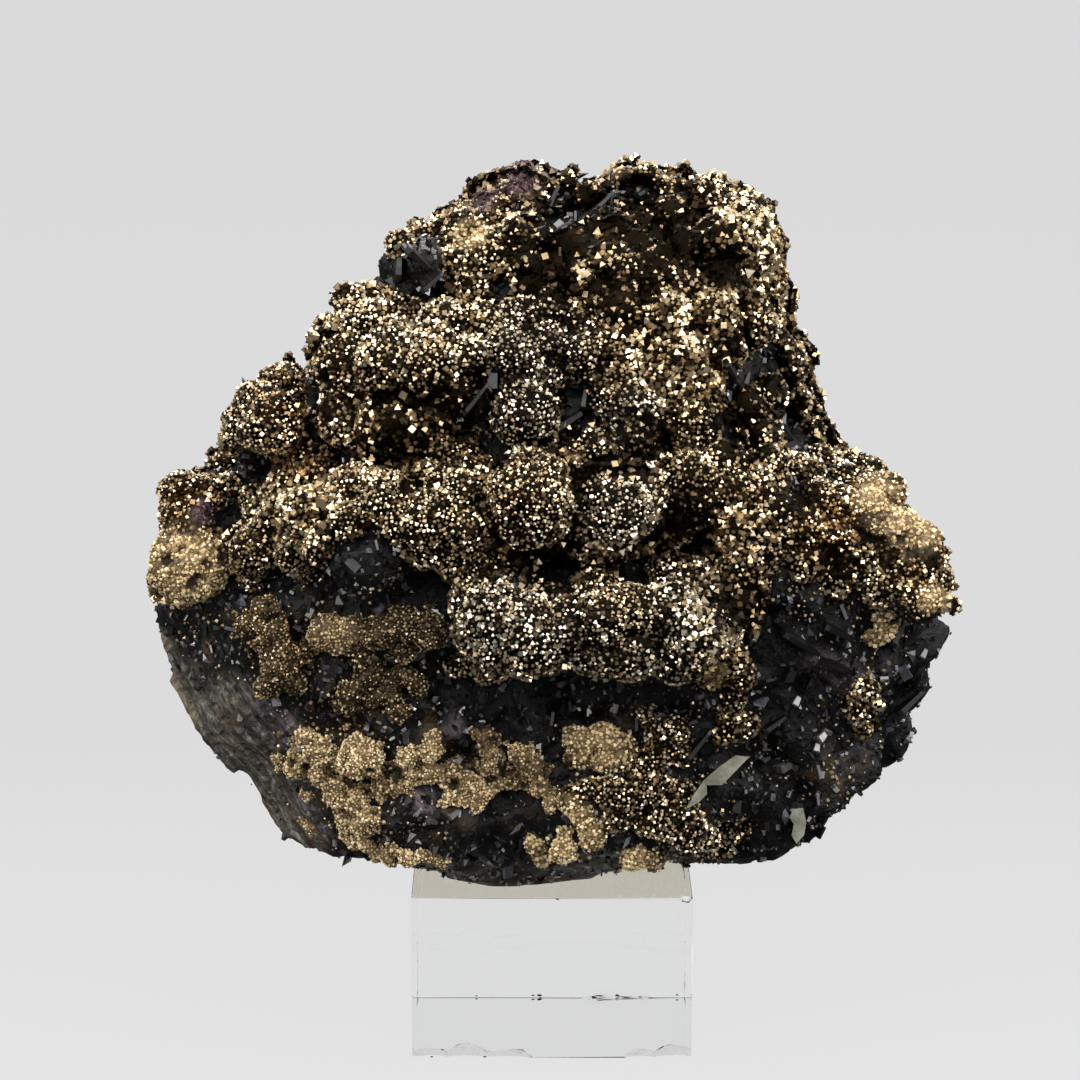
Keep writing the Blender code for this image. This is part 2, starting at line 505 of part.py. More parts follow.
def add_hidden_lumps(bm, tree, patch, rng):
    """Lumps of pyrite scattered over a patch that the front doesn't show."""
    direction, half_angle, count, smallest, largest = patch
    axis = Vector(direction).normalized()
    frame = axis.to_track_quat("Z", "Y")
    for index in range(count):
        tilt = math.radians(half_angle) * math.sqrt((index + 0.5) / count)
        around = index * math.radians(137.5)
        ray = Vector((math.sin(tilt) * math.cos(around), math.sin(tilt) * math.sin(around), math.cos(tilt)))
        ray = frame @ ray
        hit = tree.ray_cast(ROCK_MIDDLE + ray * 0.2, -ray)[0]
        if hit is None:
            continue
        radius = rng.uniform(smallest, largest)
        turn = Euler([rng.uniform(-0.6, 0.6) for _ in range(3)])
        radii = [radius * rng.uniform(0.9, 1.1) * MM for _ in range(3)]
        add_lump(bm, hit + ray * 0.1 * radius * MM, radii, rng.uniform(2.2, 3.4), turn)


def add_blade(bm, centre, length, width, turn, lean):
    """One flat blade crystal, its edge to the front."""
    verts = bmesh.ops.create_cube(bm, size=1.0)["verts"]
    spin = Euler((0.0, -math.radians(turn), 0.0)).to_matrix() @ Euler((0.0, 0.0, math.radians(lean))).to_matrix()
    for vert in verts:
        taper = 0.75 if vert.co.x > 0.0 else 1.0
        scaled = Vector((vert.co.x * length, vert.co.y * width * 1.6 * taper, vert.co.z * width * 0.5 * taper))
        vert.co = centre + spin @ (scaled * MM)


def build_blades(rock):
    """Blade crystals, each still an object of its own."""
    tree = surface_tree(rock)
    blades = []
    for across, up, length, width, turn, lean in BLADES:
        bm = bmesh.new()
        centre = seat(tree, across, up, 1.0, 0.2)
        add_blade(bm, centre, length, max(width, BLADE_LEAST_WIDTH), turn, lean)
        blades.append(new_object("blade", bm))
    return blades


def cut_seat(rock):
    """Flat underside where the rock rests on the block."""
    bm = bmesh.new()
    bm.from_mesh(rock.data)
    geometry = bm.verts[:] + bm.edges[:] + bm.faces[:]
    cut = bmesh.ops.bisect_plane(
        bm, geom=geometry, plane_co=(0.0, 0.0, SEAT_HEIGHT * MM), plane_no=(0.0, 0.0, -1.0), clear_outer=True)
    rim = [item for item in cut["geom_cut"] if isinstance(item, bmesh.types.BMEdge)]
    bmesh.ops.holes_fill(bm, edges=rim, sides=0)
    bmesh.ops.triangulate(bm, faces=bm.faces[:])
    bm.to_mesh(rock.data)
    bm.free()


def grown_copy(obj, offset, name):
    """Copy of a closed mesh, every face moved outward by an offset."""
    bm = bmesh.new()
    bm.from_mesh(obj.data)
    bm.normal_update()
    moves = {vert: vert.normal * min(vert.calc_shell_factor(), 2.5) * offset * MM for vert in bm.verts}
    for vert, move in moves.items():
        vert.co += move
    return new_object(name, bm)


def limits(obj):
    """Lowest and highest corner of an object's box."""
    spots = [vert.co for vert in obj.data.vertices]
    low = Vector([min(spot[axis] for spot in spots) for axis in range(3)])
    high = Vector([max(spot[axis] for spot in spots) for axis in range(3)])
    return low, high


def keep_clear(obj, standing, gap):
    """Cut an object back from everything that stands near it."""
    for other in standing:
        low, high = limits(obj)
        other_low, other_high = limits(other)
        apart = [
            low[axis] > other_high[axis] + 2.0 * gap * MM or high[axis] < other_low[axis] - 2.0 * gap * MM
            for axis in range(3)
        ]
        if any(apart):
            continue
        # Lumps fold over themselves where they meet, and there the exact solver loses faces
        boolean(obj, grown_copy(other, gap, "clearance"), "DIFFERENCE", "MANIFOLD")


def mesh_volume(bm):
    """Volume of a closed mesh in cubic millimetres."""
    return bm.calc_volume(signed=True) / MM ** 3


def split_pieces(obj):
    """Separate closed pieces of a mesh, largest first, as bmeshes."""
    source = bmesh.new()
    source.from_mesh(obj.data)
    unseen = set(source.faces)
    pieces = []
    while unseen:
        stack = [unseen.pop()]
        part = set(stack)
        while stack:
            for edge in stack.pop().edges:
                # Slivers share an edge with the body that they cling to
                if len(edge.link_faces) != 2:
                    continue
                for face in edge.link_faces:
                    if face not in part:
                        part.add(face)
                        stack.append(face)
        unseen -= part
        piece = source.copy()
        kept = {face.index for face in part}
        outside = [face for face in piece.faces if face.index not in kept]
        bmesh.ops.delete(piece, geom=outside, context="FACES")
        pieces.append(piece)
    source.free()
    pieces.sort(key=mesh_volume, reverse=True)
    return pieces


def finish_pieces(obj, name, material, least_volume=SMALLEST_PIECE):
    """Give each closed piece of an object its own node, and drop chips."""
    nodes = []
    for index, bm in enumerate(split_pieces(obj)):
        if mesh_volume(bm) < least_volume:
            bm.free()
            continue
        bmesh.ops.triangulate(bm, faces=bm.faces[:])
        piece = new_object(name if index == 0 else f"{name}_{index + 1}", bm)
        piece.data.materials.append(material)
        nodes.append(piece)
    bpy.data.objects.remove(obj)
    return nodes


def build_crust(name, plan, standing, tree, rng, material):
    """Pyrite crust of several lump groups, hollowed to fit over what already stands."""
    groups, patches, triangles = plan
    bm = bmesh.new()
    for lumps, power_range, lift in groups:
        add_front_lumps(bm, tree, lumps, rng, power_range, lift)
    for patch in patches:
        add_hidden_lumps(bm, tree, patch, rng)
    crust = new_object("crust_mass", bm)
    voxel_remesh(crust, CRUST_VOXEL, 1)
    keep_clear(crust, standing, HOLLOW_GAP)
    voxel_remesh(crust, CRUST_VOXEL, 1)
    decimate(crust, triangles)
    keep_clear(crust, standing, CRUST_GAP)
    return finish_pieces(crust, name, material)


def build_pale_crystal(name, outline, standing, tree, material):
    """Thin pale crystal lying against the rock."""
    nearest = min(seat(tree, across, up, PALE_STAND_OFF, 1.0).y for across, up in outline)
    push = sight_line(*outline[0]).normalized() * PALE_THICKNESS * MM
    bm = bmesh.new()
    front = [bm.verts.new(place(across, up, nearest / MM)) for across, up in outline]
    face = bm.faces.new(front)
    extruded = bmesh.ops.extrude_face_region(bm, geom=[face])
    moved = [item for item in extruded["geom"] if isinstance(item, bmesh.types.BMVert)]
    bmesh.ops.translate(bm, verts=moved, vec=push)
    bmesh.ops.recalc_face_normals(bm, faces=bm.faces[:])
    crystal = new_object(name + "_blank", bm)
    keep_clear(crystal, standing, CRUST_GAP)
    finish_pieces(crystal, name, material, PALE_LEAST_VOLUME)


def build_block(material):
    """Clear display block with bevelled edges and chipped corners."""
    bm = bmesh.new()
    bmesh.ops.create_cube(bm, size=1.0)
    size = Vector((BLOCK_SIDE, BLOCK_SIDE, BLOCK_HEIGHT)) * MM
    bmesh.ops.scale(bm, vec=size, verts=bm.verts)
    bmesh.ops.translate(bm, vec=(0.0, 0.0, size.z / 2.0), verts=bm.verts)
    bmesh.ops.bevel(
        bm, geom=bm.edges[:], offset=BLOCK_BEVEL * MM, segments=1, profile=0.5, affect="EDGES")
    block = new_object("acrylic_block", bm)
    for middle, halves in BLOCK_CHIPS:
        chip = bmesh.new()
        radii = [half * MM for half in halves]
        add_lump(chip, Vector(middle) * MM, radii, 2.0, Euler((0.0, 0.0, 0.0)), detail=2)
        boolean(block, new_object("block_chip", chip), "DIFFERENCE")
    block.data.materials.append(material)
    return block


def main():
    for obj in list(bpy.data.objects):
        bpy.data.objects.remove(obj)
    rng = random.Random(20)
    materials = {name: make_material(name) for name in FINISHES}
    block = build_block(materials["clear_acrylic"])

    rock = build_rock(rng)
    tree = surface_tree(rock)
    decimate(rock, ROCK_TRIANGLES)
    cut_seat(rock)
    blades = build_blades(rock)

    standing = [block, rock, *blades]
    for name, (plan, finish) in CRUSTS.items():
        standing += build_crust(name, plan, standing, tree, rng, materials[finish])

    pale = materials["pale_crystal"]
    build_pale_crystal("pale_crystal_leaf", PALE_LEAF_OUTLINE, standing, tree, pale)
    build_pale_crystal("pale_crystal_spike", PALE_SPIKE_OUTLINE, standing, tree, pale)

    for blade in blades:
        boolean(rock, blade, "UNION")
    rock.data.materials.append(materials["dark_rock"])


main()
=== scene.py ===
import math
import random

import bmesh
import bpy
import numpy as np
from mathutils import Euler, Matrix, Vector, noise
from mathutils.bvhtree import BVHTree


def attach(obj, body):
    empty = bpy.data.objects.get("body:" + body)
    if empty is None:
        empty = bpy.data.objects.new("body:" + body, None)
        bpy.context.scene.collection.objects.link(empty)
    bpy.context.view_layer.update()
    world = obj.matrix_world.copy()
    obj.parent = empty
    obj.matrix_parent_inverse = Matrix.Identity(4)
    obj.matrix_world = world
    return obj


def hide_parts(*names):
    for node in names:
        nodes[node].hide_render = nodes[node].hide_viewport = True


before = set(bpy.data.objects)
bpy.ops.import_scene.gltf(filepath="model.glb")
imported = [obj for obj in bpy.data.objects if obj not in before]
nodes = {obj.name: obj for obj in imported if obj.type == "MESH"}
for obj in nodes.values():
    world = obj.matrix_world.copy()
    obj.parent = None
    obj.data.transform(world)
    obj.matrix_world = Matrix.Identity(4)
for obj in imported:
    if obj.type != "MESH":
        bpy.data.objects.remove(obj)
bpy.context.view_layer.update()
mm = 0.001
noise.seed_set(1)  # unseeded, noise_vector changes from run to run

# Where the photograph is taken from. Places on the front are given as millimetres across and up, as
# seen on an upright plane at the block's middle.
cameraValues = {
    "eye": (-0.0021, -0.665, 0.237),
    "tiltDegrees": 12.5,
    "lens": 125.77,
    "sensor": 36.0,
    "planeDistance": 0.6957,
    "planeAcross": -0.0021,
    "planeUp": 0.0640,
}
eye = Vector(cameraValues["eye"])
tilt = math.radians(cameraValues["tiltDegrees"])
ahead = Vector((0.0, math.cos(tilt), -math.sin(tilt)))
above = Vector((0.0, math.sin(tilt), math.cos(tilt)))


def sightLine(across, up):
    side = (across * mm - cameraValues["planeAcross"]) / cameraValues["planeDistance"]
    rise = (up * mm - cameraValues["planeUp"]) / cameraValues["planeDistance"]
    return (ahead + above * rise + Vector((side, 0.0, 0.0))).normalized()


def place(across, up, depth):
    line = sightLine(across, up)
    return eye + line * ((depth * mm - eye.y) / line.y)


def seenAt(coords):
    # across and up, in millimetres, for an array of points
    offset = coords - np.array(eye)
    distance = offset @ np.array(ahead)
    across = offset[:, 0] / distance * cameraValues["planeDistance"] + cameraValues["planeAcross"]
    up = (offset @ np.array(above)) / distance * cameraValues["planeDistance"] + cameraValues["planeUp"]
    return across / mm, up / mm


# Meshes


def newObject(name, bm):
    mesh = bpy.data.meshes.new(name)
    bm.to_mesh(mesh)
    bm.free()
    obj = bpy.data.objects.new(name, mesh)
    bpy.context.scene.collection.objects.link(obj)
    return obj


def settle(obj):
    # keeps what the modifiers make and drops them
    depsgraph = bpy.context.evaluated_depsgraph_get()
    mesh = bpy.data.meshes.new_from_object(obj.evaluated_get(depsgraph))
    old = obj.data
    obj.modifiers.clear()
    obj.data = mesh
    mesh.name = obj.name
    bpy.data.meshes.remove(old)


def voxelSkin(obj, voxel, smoothing=1):
    remesh = obj.modifiers.new("Skin", "REMESH")
    remesh.mode = "VOXEL"
    remesh.voxel_size = voxel * mm
    if smoothing:
        smooth = obj.modifiers.new("Smooth", "SMOOTH")
        smooth.factor = 0.5
        smooth.iterations = smoothing
    settle(obj)


def thin(obj, triangles):
    faces = sum(len(polygon.vertices) - 2 for polygon in obj.data.polygons)
    if faces > triangles:
        collapse = obj.modifiers.new("Thin", "DECIMATE")
        collapse.ratio = triangles / faces
        settle(obj)


def cadMesh(*names):
    bm = bmesh.new()
    for name in names:
        bm.from_mesh(nodes[name].data)
    bmesh.ops.remove_doubles(bm, verts=bm.verts[:], dist=1e-6)
    bmesh.ops.recalc_face_normals(bm, faces=bm.faces[:])
    return bm


def points(obj):
    coords = np.empty(len(obj.data.vertices) * 3)
    obj.data.vertices.foreach_get("co", coords)
    return coords.reshape(-1, 3)


def normals(obj):
    found = np.empty(len(obj.data.vertices) * 3)
    obj.data.vertices.foreach_get("normal", found)
    return found.reshape(-1, 3)


def move(obj, coords):
    obj.data.vertices.foreach_set("co", coords.ravel())
    obj.data.update()


def towardsEye(obj):
    # 1 where the surface faces the camera, 0 edge on, below 0 behind
    toEye = np.array(eye) - points(obj)
    return (normals(obj) * toEye).sum(axis=1) / np.linalg.norm(toEye, axis=1)


def store(obj, name, values):
    layer = obj.data.attributes.get(name) or obj.data.attributes.new(name, "FLOAT", "POINT")
    layer.data.foreach_set("value", np.asarray(values, dtype=np.float32))


def spotMask(obj, spots, softness=0.35):
    # 1 inside the spots, fading out over their rims; each spot is across, up and radius
    across, up = seenAt(points(obj))
    mask = np.zeros(len(across))
    for spot in spots:
        reach = np.hypot(across - spot[0], up - spot[1]) / spot[2]
        mask = np.maximum(mask, np.clip((1.0 + softness - reach) / (2.0 * softness), 0.0, 1.0))
    return mask


# Where the photograph's outline leaves the frame's solids: across, up, reach, then the shift across and up
outlineShifts = [
    (-49, 13, 7, -2, -1.2), (-44, 8, 6, -1.8, -1.3), (-38, 6, 5, -0.5, -1.7), (-60, 27, 7, -1.6, -1.6),
    (54, 8, 6.5, -2.8, 2.2), (71, 36, 4, -1, 0), (70, 71, 6, -3.5, -2.5), (48, 97, 6, 3, 1.4), (46, 107, 5, 2.2, 0),
    (43.5, 119, 4, 0, -0.6), (4.5, 134, 4, 0, -1.2), (25, 134, 3, 0, -1), (-56, 97, 6, 3, -2.4),
    (-62, 88, 5, 2.4, -2.2), (-69, 78, 4, 2.4, -1.4), (-44.5, 102, 5, -1.8, 1.4), (-7, 132.5, 5, 0, 1.8),
    (1.5, 132.5, 3.5, 0, -1.2), (33.5, 129.5, 4, 0, 1.4), (71, 49.5, 5, 2.6, 0), (59.5, 20, 5, 2.4, 0),
    (64, 76, 4, -1.6, 0), (-73, 64, 4, 2.4, 0), (44, 117, 3, 0, -1.2),
]


def followOutline(obj):
    coords = points(obj)
    for across, up, reach, right, rise in outlineShifts:
        mask = spotMask(obj, [(across, up, reach)], 0.5)[:, None]
        coords += mask * np.array(Vector((right, 0.0, 0.0)) + above * rise) * mm
    move(obj, coords)


def relief(obj, rounds):
    # how far each point stands over the smoothed form, in millimetres; crevices are below 0
    coords = points(obj)
    edges = np.empty(len(obj.data.edges) * 2, dtype=np.int32)
    obj.data.edges.foreach_get("vertices", edges)
    first, second = edges[0::2], edges[1::2]
    count = np.bincount(edges, minlength=len(coords))[:, None]
    smooth = coords.copy()
    for _ in range(rounds):
        total = np.zeros_like(smooth)
        for axis in range(3):
            total[:, axis] = np.bincount(first, smooth[second, axis], len(coords))
            total[:, axis] += np.bincount(second, smooth[first, axis], len(coords))
        smooth = total / np.maximum(count, 1)
    return ((coords - smooth) * normals(obj)).sum(axis=1) / mm


def addLump(bm, centre, radii, power, turn, detail=2):
    # a sphere at power 2, boxier as the power grows
    verts = bmesh.ops.create_icosphere(bm, subdivisions=detail, radius=1.0)["verts"]
    spin = turn.to_matrix()
    for vert in verts:
        x, y, z = vert.co
        reach = (abs(x) ** power + abs(y) ** power + abs(z) ** power) ** (1.0 / power)
        unit = vert.co / reach
        unit *= 1.0 + 0.12 * noise.noise(vert.co * 1.9 + centre * 400.0)
        vert.co = centre + spin @ Vector((unit.x * radii[0], unit.y * radii[1], unit.z * radii[2]))


cadRock = bmesh.new()
cadRock.from_mesh(nodes["matrix_rock"].data)
rockTree = BVHTree.FromBMesh(cadRock)
cadRock.free()


def seat(across, up, radius, lift):
    # middle of a lump on the rock that is seen at a place on the front
    line = sightLine(across, up)
    hit = rockTree.ray_cast(eye, line)[0]
    if hit is None:
        return rockTree.find_nearest(place(across, up, 4.0))[0]
    return hit - line * radius * lift * mm


# Shader helpers


def newMaterial(name):
    material = bpy.data.materials.new(name)
    material.use_nodes = True
    tree = material.node_tree
    return material, tree, tree.nodes["Principled BSDF"]


def plug(tree, value, socket):
    # a link from another node's output, or a plain value
    if isinstance(value, bpy.types.NodeSocket):
        tree.links.new(value, socket)
    else:
        socket.default_value = (*value, 1.0) if socket.type == "RGBA" else value


def addNode(tree, kind, inputs, **settings):
    node = tree.nodes.new(kind)
    for name, setting in settings.items():
        setattr(node, name, setting)
    for name, value in inputs.items():
        plug(tree, value, node.inputs[name])
    return node


def attribute(tree, name):
    return addNode(tree, "ShaderNodeAttribute", {}, attribute_name=name).outputs["Fac"]


def ramp(tree, factor, stops):
    node = addNode(tree, "ShaderNodeValToRGB", {"Fac": factor})
    elements = node.color_ramp.elements
    while len(elements) < len(stops):
        elements.new(0.5)
    for element, (position, colour) in zip(elements, stops):
        element.position = position
        element.color = (*colour, 1.0)
    return node.outputs["Color"]


def mixColour(tree, factor, first, second):
    return addNode(tree, "ShaderNodeMix", {0: factor, 6: first, 7: second}, data_type="RGBA").outputs[2]


def mixNumber(tree, factor, first, second):
    return addNode(tree, "ShaderNodeMix", {0: factor, 2: first, 3: second}).outputs[0]


def spread(tree, value, low, high, toLow, toHigh):
    inputs = {"Value": value, "From Min": low, "From Max": high, "To Min": toLow, "To Max": toHigh}
    return addNode(tree, "ShaderNodeMapRange", inputs).outputs["Result"]


def combine(tree, operation, first, second):
    return addNode(tree, "ShaderNodeMath", {0: first, 1: second}, operation=operation).outputs[0]


def objectCoordinate(tree):
    return tree.nodes.new("ShaderNodeTexCoord").outputs["Object"]


def makeGrainGroup():
    # mottled grain that several materials use: a coarse and a fine mask, from Object coordinates
    group = bpy.data.node_groups.new("mineralGrain", "ShaderNodeTree")
    face = group.interface
    for name, value in (("Coarse Scale", 60.0), ("Fine Scale", 900.0), ("Roughen", 0.6)):
        face.new_socket(name, in_out="INPUT", socket_type="NodeSocketFloat").default_value = value
    for name in ("Coarse", "Fine", "Height"):
        face.new_socket(name, in_out="OUTPUT", socket_type="NodeSocketFloat")
    start = group.nodes.new("NodeGroupInput").outputs
    coordinate = objectCoordinate(group)
    coarse, fine = [
        addNode(group, "ShaderNodeTexNoise", {"Vector": coordinate, "Scale": start[name], "Detail": 4.0,
                                              "Roughness": start["Roughen"]}).outputs["Fac"]
        for name in ("Coarse Scale", "Fine Scale")]
    addNode(group, "NodeGroupOutput", {"Coarse": coarse, "Fine": fine, "Height": combine(group, "ADD", coarse, fine)})
    return group


grainGroup = makeGrainGroup()


def grain(tree, coarseScale, fineScale, roughen=0.6):
    node = tree.nodes.new("ShaderNodeGroup")
    node.node_tree = grainGroup
    for name, value in (("Coarse Scale", coarseScale), ("Fine Scale", fineScale), ("Roughen", roughen)):
        node.inputs[name].default_value = value
    return node.outputs


def streak(tree, angle, scale):
    # noise drawn out along one slanting direction
    turned = addNode(tree, "ShaderNodeMapping", {"Vector": objectCoordinate(tree),
                                                 "Rotation": (0.0, math.radians(angle), 0.0)}).outputs["Vector"]
    stretched = addNode(tree, "ShaderNodeVectorMath", {0: turned, 1: scale}, operation="MULTIPLY").outputs["Vector"]
    return addNode(tree, "ShaderNodeTexNoise", {"Vector": stretched, "Scale": 1.0, "Detail": 5.0,
                                                "Roughness": 0.7}).outputs["Fac"]


def bump(tree, height, shader, strength, distance):
    node = addNode(tree, "ShaderNodeBump", {"Strength": strength, "Distance": distance * mm, "Height": height})
    plug(tree, node.outputs["Normal"], shader.inputs["Normal"])


# Materials

# Crystal colours run from dark to cream along a random value per crystal: the cream end is a painted glint and the
# near-black end is painted shade, laid over the pyrite's gold, silver, warm and ochre tones
druseColours = {
    "gold": [(0.0, (0.006, 0.004, 0.002)), (0.20, (0.040, 0.026, 0.013)), (0.40, (0.26, 0.185, 0.100)),
             (0.62, (0.58, 0.445, 0.265)), (1.0, (0.86, 0.74, 0.53))],
    "silver": [(0.0, (0.005, 0.0045, 0.004)), (0.22, (0.030, 0.025, 0.019)), (0.43, (0.22, 0.186, 0.138)),
               (0.64, (0.55, 0.48, 0.37)), (1.0, (0.86, 0.80, 0.69))],
    "warm": [(0.0, (0.008, 0.0045, 0.002)), (0.22, (0.058, 0.030, 0.013)), (0.45, (0.27, 0.162, 0.070)),
             (0.68, (0.58, 0.40, 0.215)), (1.0, (0.88, 0.74, 0.51))],
    "ochre": [(0.0, (0.024, 0.014, 0.006)), (0.24, (0.15, 0.097, 0.041)), (0.50, (0.47, 0.34, 0.165)),
              (1.0, (0.88, 0.71, 0.43))],
    "purple": (0.066, 0.042, 0.045),
    "silverShare": 0.6,
    "creviceShade": 0.75,
    "roughness": (0.46, 0.29),  # darkest crystal, brightest crystal
    "ochreShade": 0.65,
    "ochreRoughness": 0.72,
    "ochreMetal": 0.12,
}


def makeDruseMaterial(name):
    material, tree, shader = newMaterial(name)
    masks = grain(tree, 110.0, 1400.0)
    glintTone = attribute(tree, "glintTone")
    lit = attribute(tree, "lit")
    ochre = attribute(tree, "ochre")
    shade = combine(tree, "MULTIPLY", glintTone, spread(tree, masks["Coarse"], 0.34, 0.60, 0.80, 1.14))
    # painted light and shade: crystals are coloured lighter where lit is over 1 and darker in crevices and shaded
    # places
    shade = combine(tree, "MULTIPLY", shade, combine(tree, "MAXIMUM", lit, 1.0))
    less = combine(tree, "MINIMUM", combine(tree, "SUBTRACT", lit, 1.0), 0.0)
    shade = combine(tree, "ADD", shade, combine(tree, "MULTIPLY", less, druseColours["creviceShade"]))
    silver = combine(tree, "MULTIPLY", attribute(tree, "silver"), druseColours["silverShare"])
    gold, pale, warm = [ramp(tree, shade, druseColours[tone]) for tone in ("gold", "silver", "warm")]
    colour = mixColour(tree, silver, gold, pale)
    colour = mixColour(tree, attribute(tree, "warm"), colour, warm)
    # the ochre is dusty: its fine grain shows as much as its crystals
    ochreShade = combine(tree, "MULTIPLY", shade, druseColours["ochreShade"])
    ochreShade = combine(tree, "ADD", ochreShade, spread(tree, masks["Fine"], 0.3, 0.7, 0.02, 0.46))
    colour = mixColour(tree, ochre, colour, ramp(tree, ochreShade, druseColours["ochre"]))
    colour = mixColour(tree, attribute(tree, "purple"), colour, druseColours["purple"])
    roughness = mixNumber(tree, ochre, spread(tree, glintTone, 0.0, 1.0, *druseColours["roughness"]),
                          druseColours["ochreRoughness"])
    plug(tree, colour, shader.inputs["Base Color"])
    plug(tree, roughness, shader.inputs["Roughness"])
    plug(tree, spread(tree, ochre, 0.0, 1.0, 1.0, druseColours["ochreMetal"]), shader.inputs["Metallic"])
    bump(tree, masks["Fine"], shader, 0.25, 0.10)
    return material


rockColours = {
    "black": [(0.3, (0.0012, 0.0012, 0.0014)), (0.62, (0.004, 0.0038, 0.004)), (0.8, (0.012, 0.0115, 0.0125))],
    "broken": [(0.36, (0.010, 0.009, 0.008)), (0.47, (0.054, 0.046, 0.038)), (0.55, (0.122, 0.115, 0.097)),
               (0.66, (0.30, 0.285, 0.245))],
    "rusty": (0.075, 0.045, 0.028),
    "sheen": (0.125, 0.100, 0.118),
    "olive": (0.20, 0.175, 0.100),
    "dust": (0.10, 0.062, 0.027),
    "roughness": (0.34, 0.6),
    "refraction": 1.28,
}


def makeRockMaterial(name):
    material, tree, shader = newMaterial(name)
    masks = grain(tree, 140.0, 1100.0, 0.68)
    streaks = streak(tree, -52.0, (110.0, 800.0, 900.0))
    broken = attribute(tree, "broken")
    # broken faces: streaked grey with rusty and olive patches
    mottled = combine(tree, "ADD", combine(tree, "MULTIPLY", masks["Fine"], 0.25),
                      combine(tree, "MULTIPLY", streaks, 0.75))
    fresh = mixColour(tree, spread(tree, masks["Coarse"], 0.50, 0.62, 0.0, 0.75),
                      ramp(tree, mottled, rockColours["broken"]), rockColours["rusty"])
    olive = combine(tree, "MULTIPLY", attribute(tree, "olive"), spread(tree, mottled, 0.4, 0.55, 0.4, 1.0))
    fresh = mixColour(tree, olive, fresh, rockColours["olive"])
    colour = mixColour(tree, broken, ramp(tree, masks["Coarse"], rockColours["black"]), fresh)
    dusty = combine(tree, "MULTIPLY", attribute(tree, "dust"), spread(tree, masks["Coarse"], 0.52, 0.66, 0.0, 0.6))
    colour = mixColour(tree, dusty, colour, rockColours["dust"])
    # painted sheen: a lighter purple-grey along the streaks where the purple mask lies
    sheen = combine(tree, "MULTIPLY", attribute(tree, "purple"), spread(tree, streaks, 0.42, 0.58, 0.25, 1.0))
    colour = mixColour(tree, sheen, colour, rockColours["sheen"])
    roughness = combine(tree, "ADD", spread(tree, masks["Fine"], 0.35, 0.65, *rockColours["roughness"]),
                        combine(tree, "MULTIPLY", broken, 0.1))
    ridges = combine(tree, "MULTIPLY", combine(tree, "MULTIPLY", streaks, broken), 1.5)
    plug(tree, colour, shader.inputs["Base Color"])
    plug(tree, roughness, shader.inputs["Roughness"])
    shader.inputs["IOR"].default_value = rockColours["refraction"]
    bump(tree, combine(tree, "ADD", masks["Height"], ridges), shader, 0.7, 0.5)
    return material


crystalColours = {
    # the pale blue-grey top of the black ramp is a painted glint on the black crystals
    "black": [(0.0, (0.002, 0.002, 0.0025)), (0.72, (0.006, 0.0065, 0.008)), (0.94, (0.035, 0.037, 0.045)),
              (1.0, (0.16, 0.165, 0.185))],
    "grey": [(0.0, (0.05, 0.047, 0.05)), (1.0, (0.32, 0.30, 0.30))],
    "roughness": (0.36, 0.14),
}


def makeDarkCrystalMaterial(name, refraction, duller=0.0, colours="black"):
    material, tree, shader = newMaterial(name)
    masks = grain(tree, 200.0, 1600.0)
    mottled = combine(tree, "ADD", attribute(tree, "glintTone"), spread(tree, masks["Coarse"], 0.3, 0.7, -0.1, 0.15))
    low, high = crystalColours["roughness"]
    plug(tree, ramp(tree, mottled, crystalColours[colours]), shader.inputs["Base Color"])
    plug(tree, spread(tree, masks["Coarse"], 0.35, 0.65, low + duller, high + duller), shader.inputs["Roughness"])
    shader.inputs["IOR"].default_value = refraction
    bump(tree, masks["Fine"], shader, 0.2, 0.08)
    return material


paleValues = {
    "light": (0.30, 0.305, 0.24),
    "dark": (0.12, 0.125, 0.095),
    "roughness": (0.22, 0.5),
    "glow": 0.15,
    "glowDepth": 2.0,
}


def makePaleMaterial(name):
    material, tree, shader = newMaterial(name)
    masks = grain(tree, 260.0, 1500.0)
    cloudy = spread(tree, masks["Coarse"], 0.35, 0.65, 0.0, 1.0)
    plug(tree, mixColour(tree, cloudy, paleValues["dark"], paleValues["light"]), shader.inputs["Base Color"])
    plug(tree, spread(tree, masks["Fine"], 0.3, 0.7, *paleValues["roughness"]), shader.inputs["Roughness"])
    shader.inputs["Subsurface Weight"].default_value = paleValues["glow"]
    shader.inputs["Subsurface Scale"].default_value = paleValues["glowDepth"] * mm
    bump(tree, masks["Height"], shader, 0.3, 0.2)
    return material


acrylicValues = {
    "refraction": 1.49,
    "clear": (0.985, 0.99, 0.985),
    "top": (1.0, 0.89, 0.68),
    "worn": (0.86, 0.86, 0.84),
    "roughness": (0.012, 0.22),  # polished face, worn chip
}


def makeAcrylicMaterial(name):
    material, tree, shader = newMaterial(name)
    worn = attribute(tree, "worn")
    # painted light: the top face is tinted beige for the warm light seen in it
    colour = mixColour(tree, attribute(tree, "top"), acrylicValues["clear"], acrylicValues["top"])
    plug(tree, mixColour(tree, worn, colour, acrylicValues["worn"]), shader.inputs["Base Color"])
    plug(tree, spread(tree, worn, 0.0, 1.0, *acrylicValues["roughness"]), shader.inputs["Roughness"])
    shader.inputs["Transmission Weight"].default_value = 1.0
    shader.inputs["IOR"].default_value = acrylicValues["refraction"]
    return material


druseMaterial = makeDruseMaterial("pyriteDruse")
rockMaterial = makeRockMaterial("darkHostRock")
darkCrystalMaterial = makeDarkCrystalMaterial("darkCrystals", 1.8)
bladeMaterial = makeDarkCrystalMaterial("darkBladeCrystals", 1.45, 0.12)
greyCrystalMaterial = makeDarkCrystalMaterial("greyCrystals", 1.9, 0.0, "grey")
paleMaterial = makePaleMaterial("paleCrystal")
acrylicMaterial = makeAcrylicMaterial("clearBlock")


# Crystals grown over a mesh by Geometry Nodes


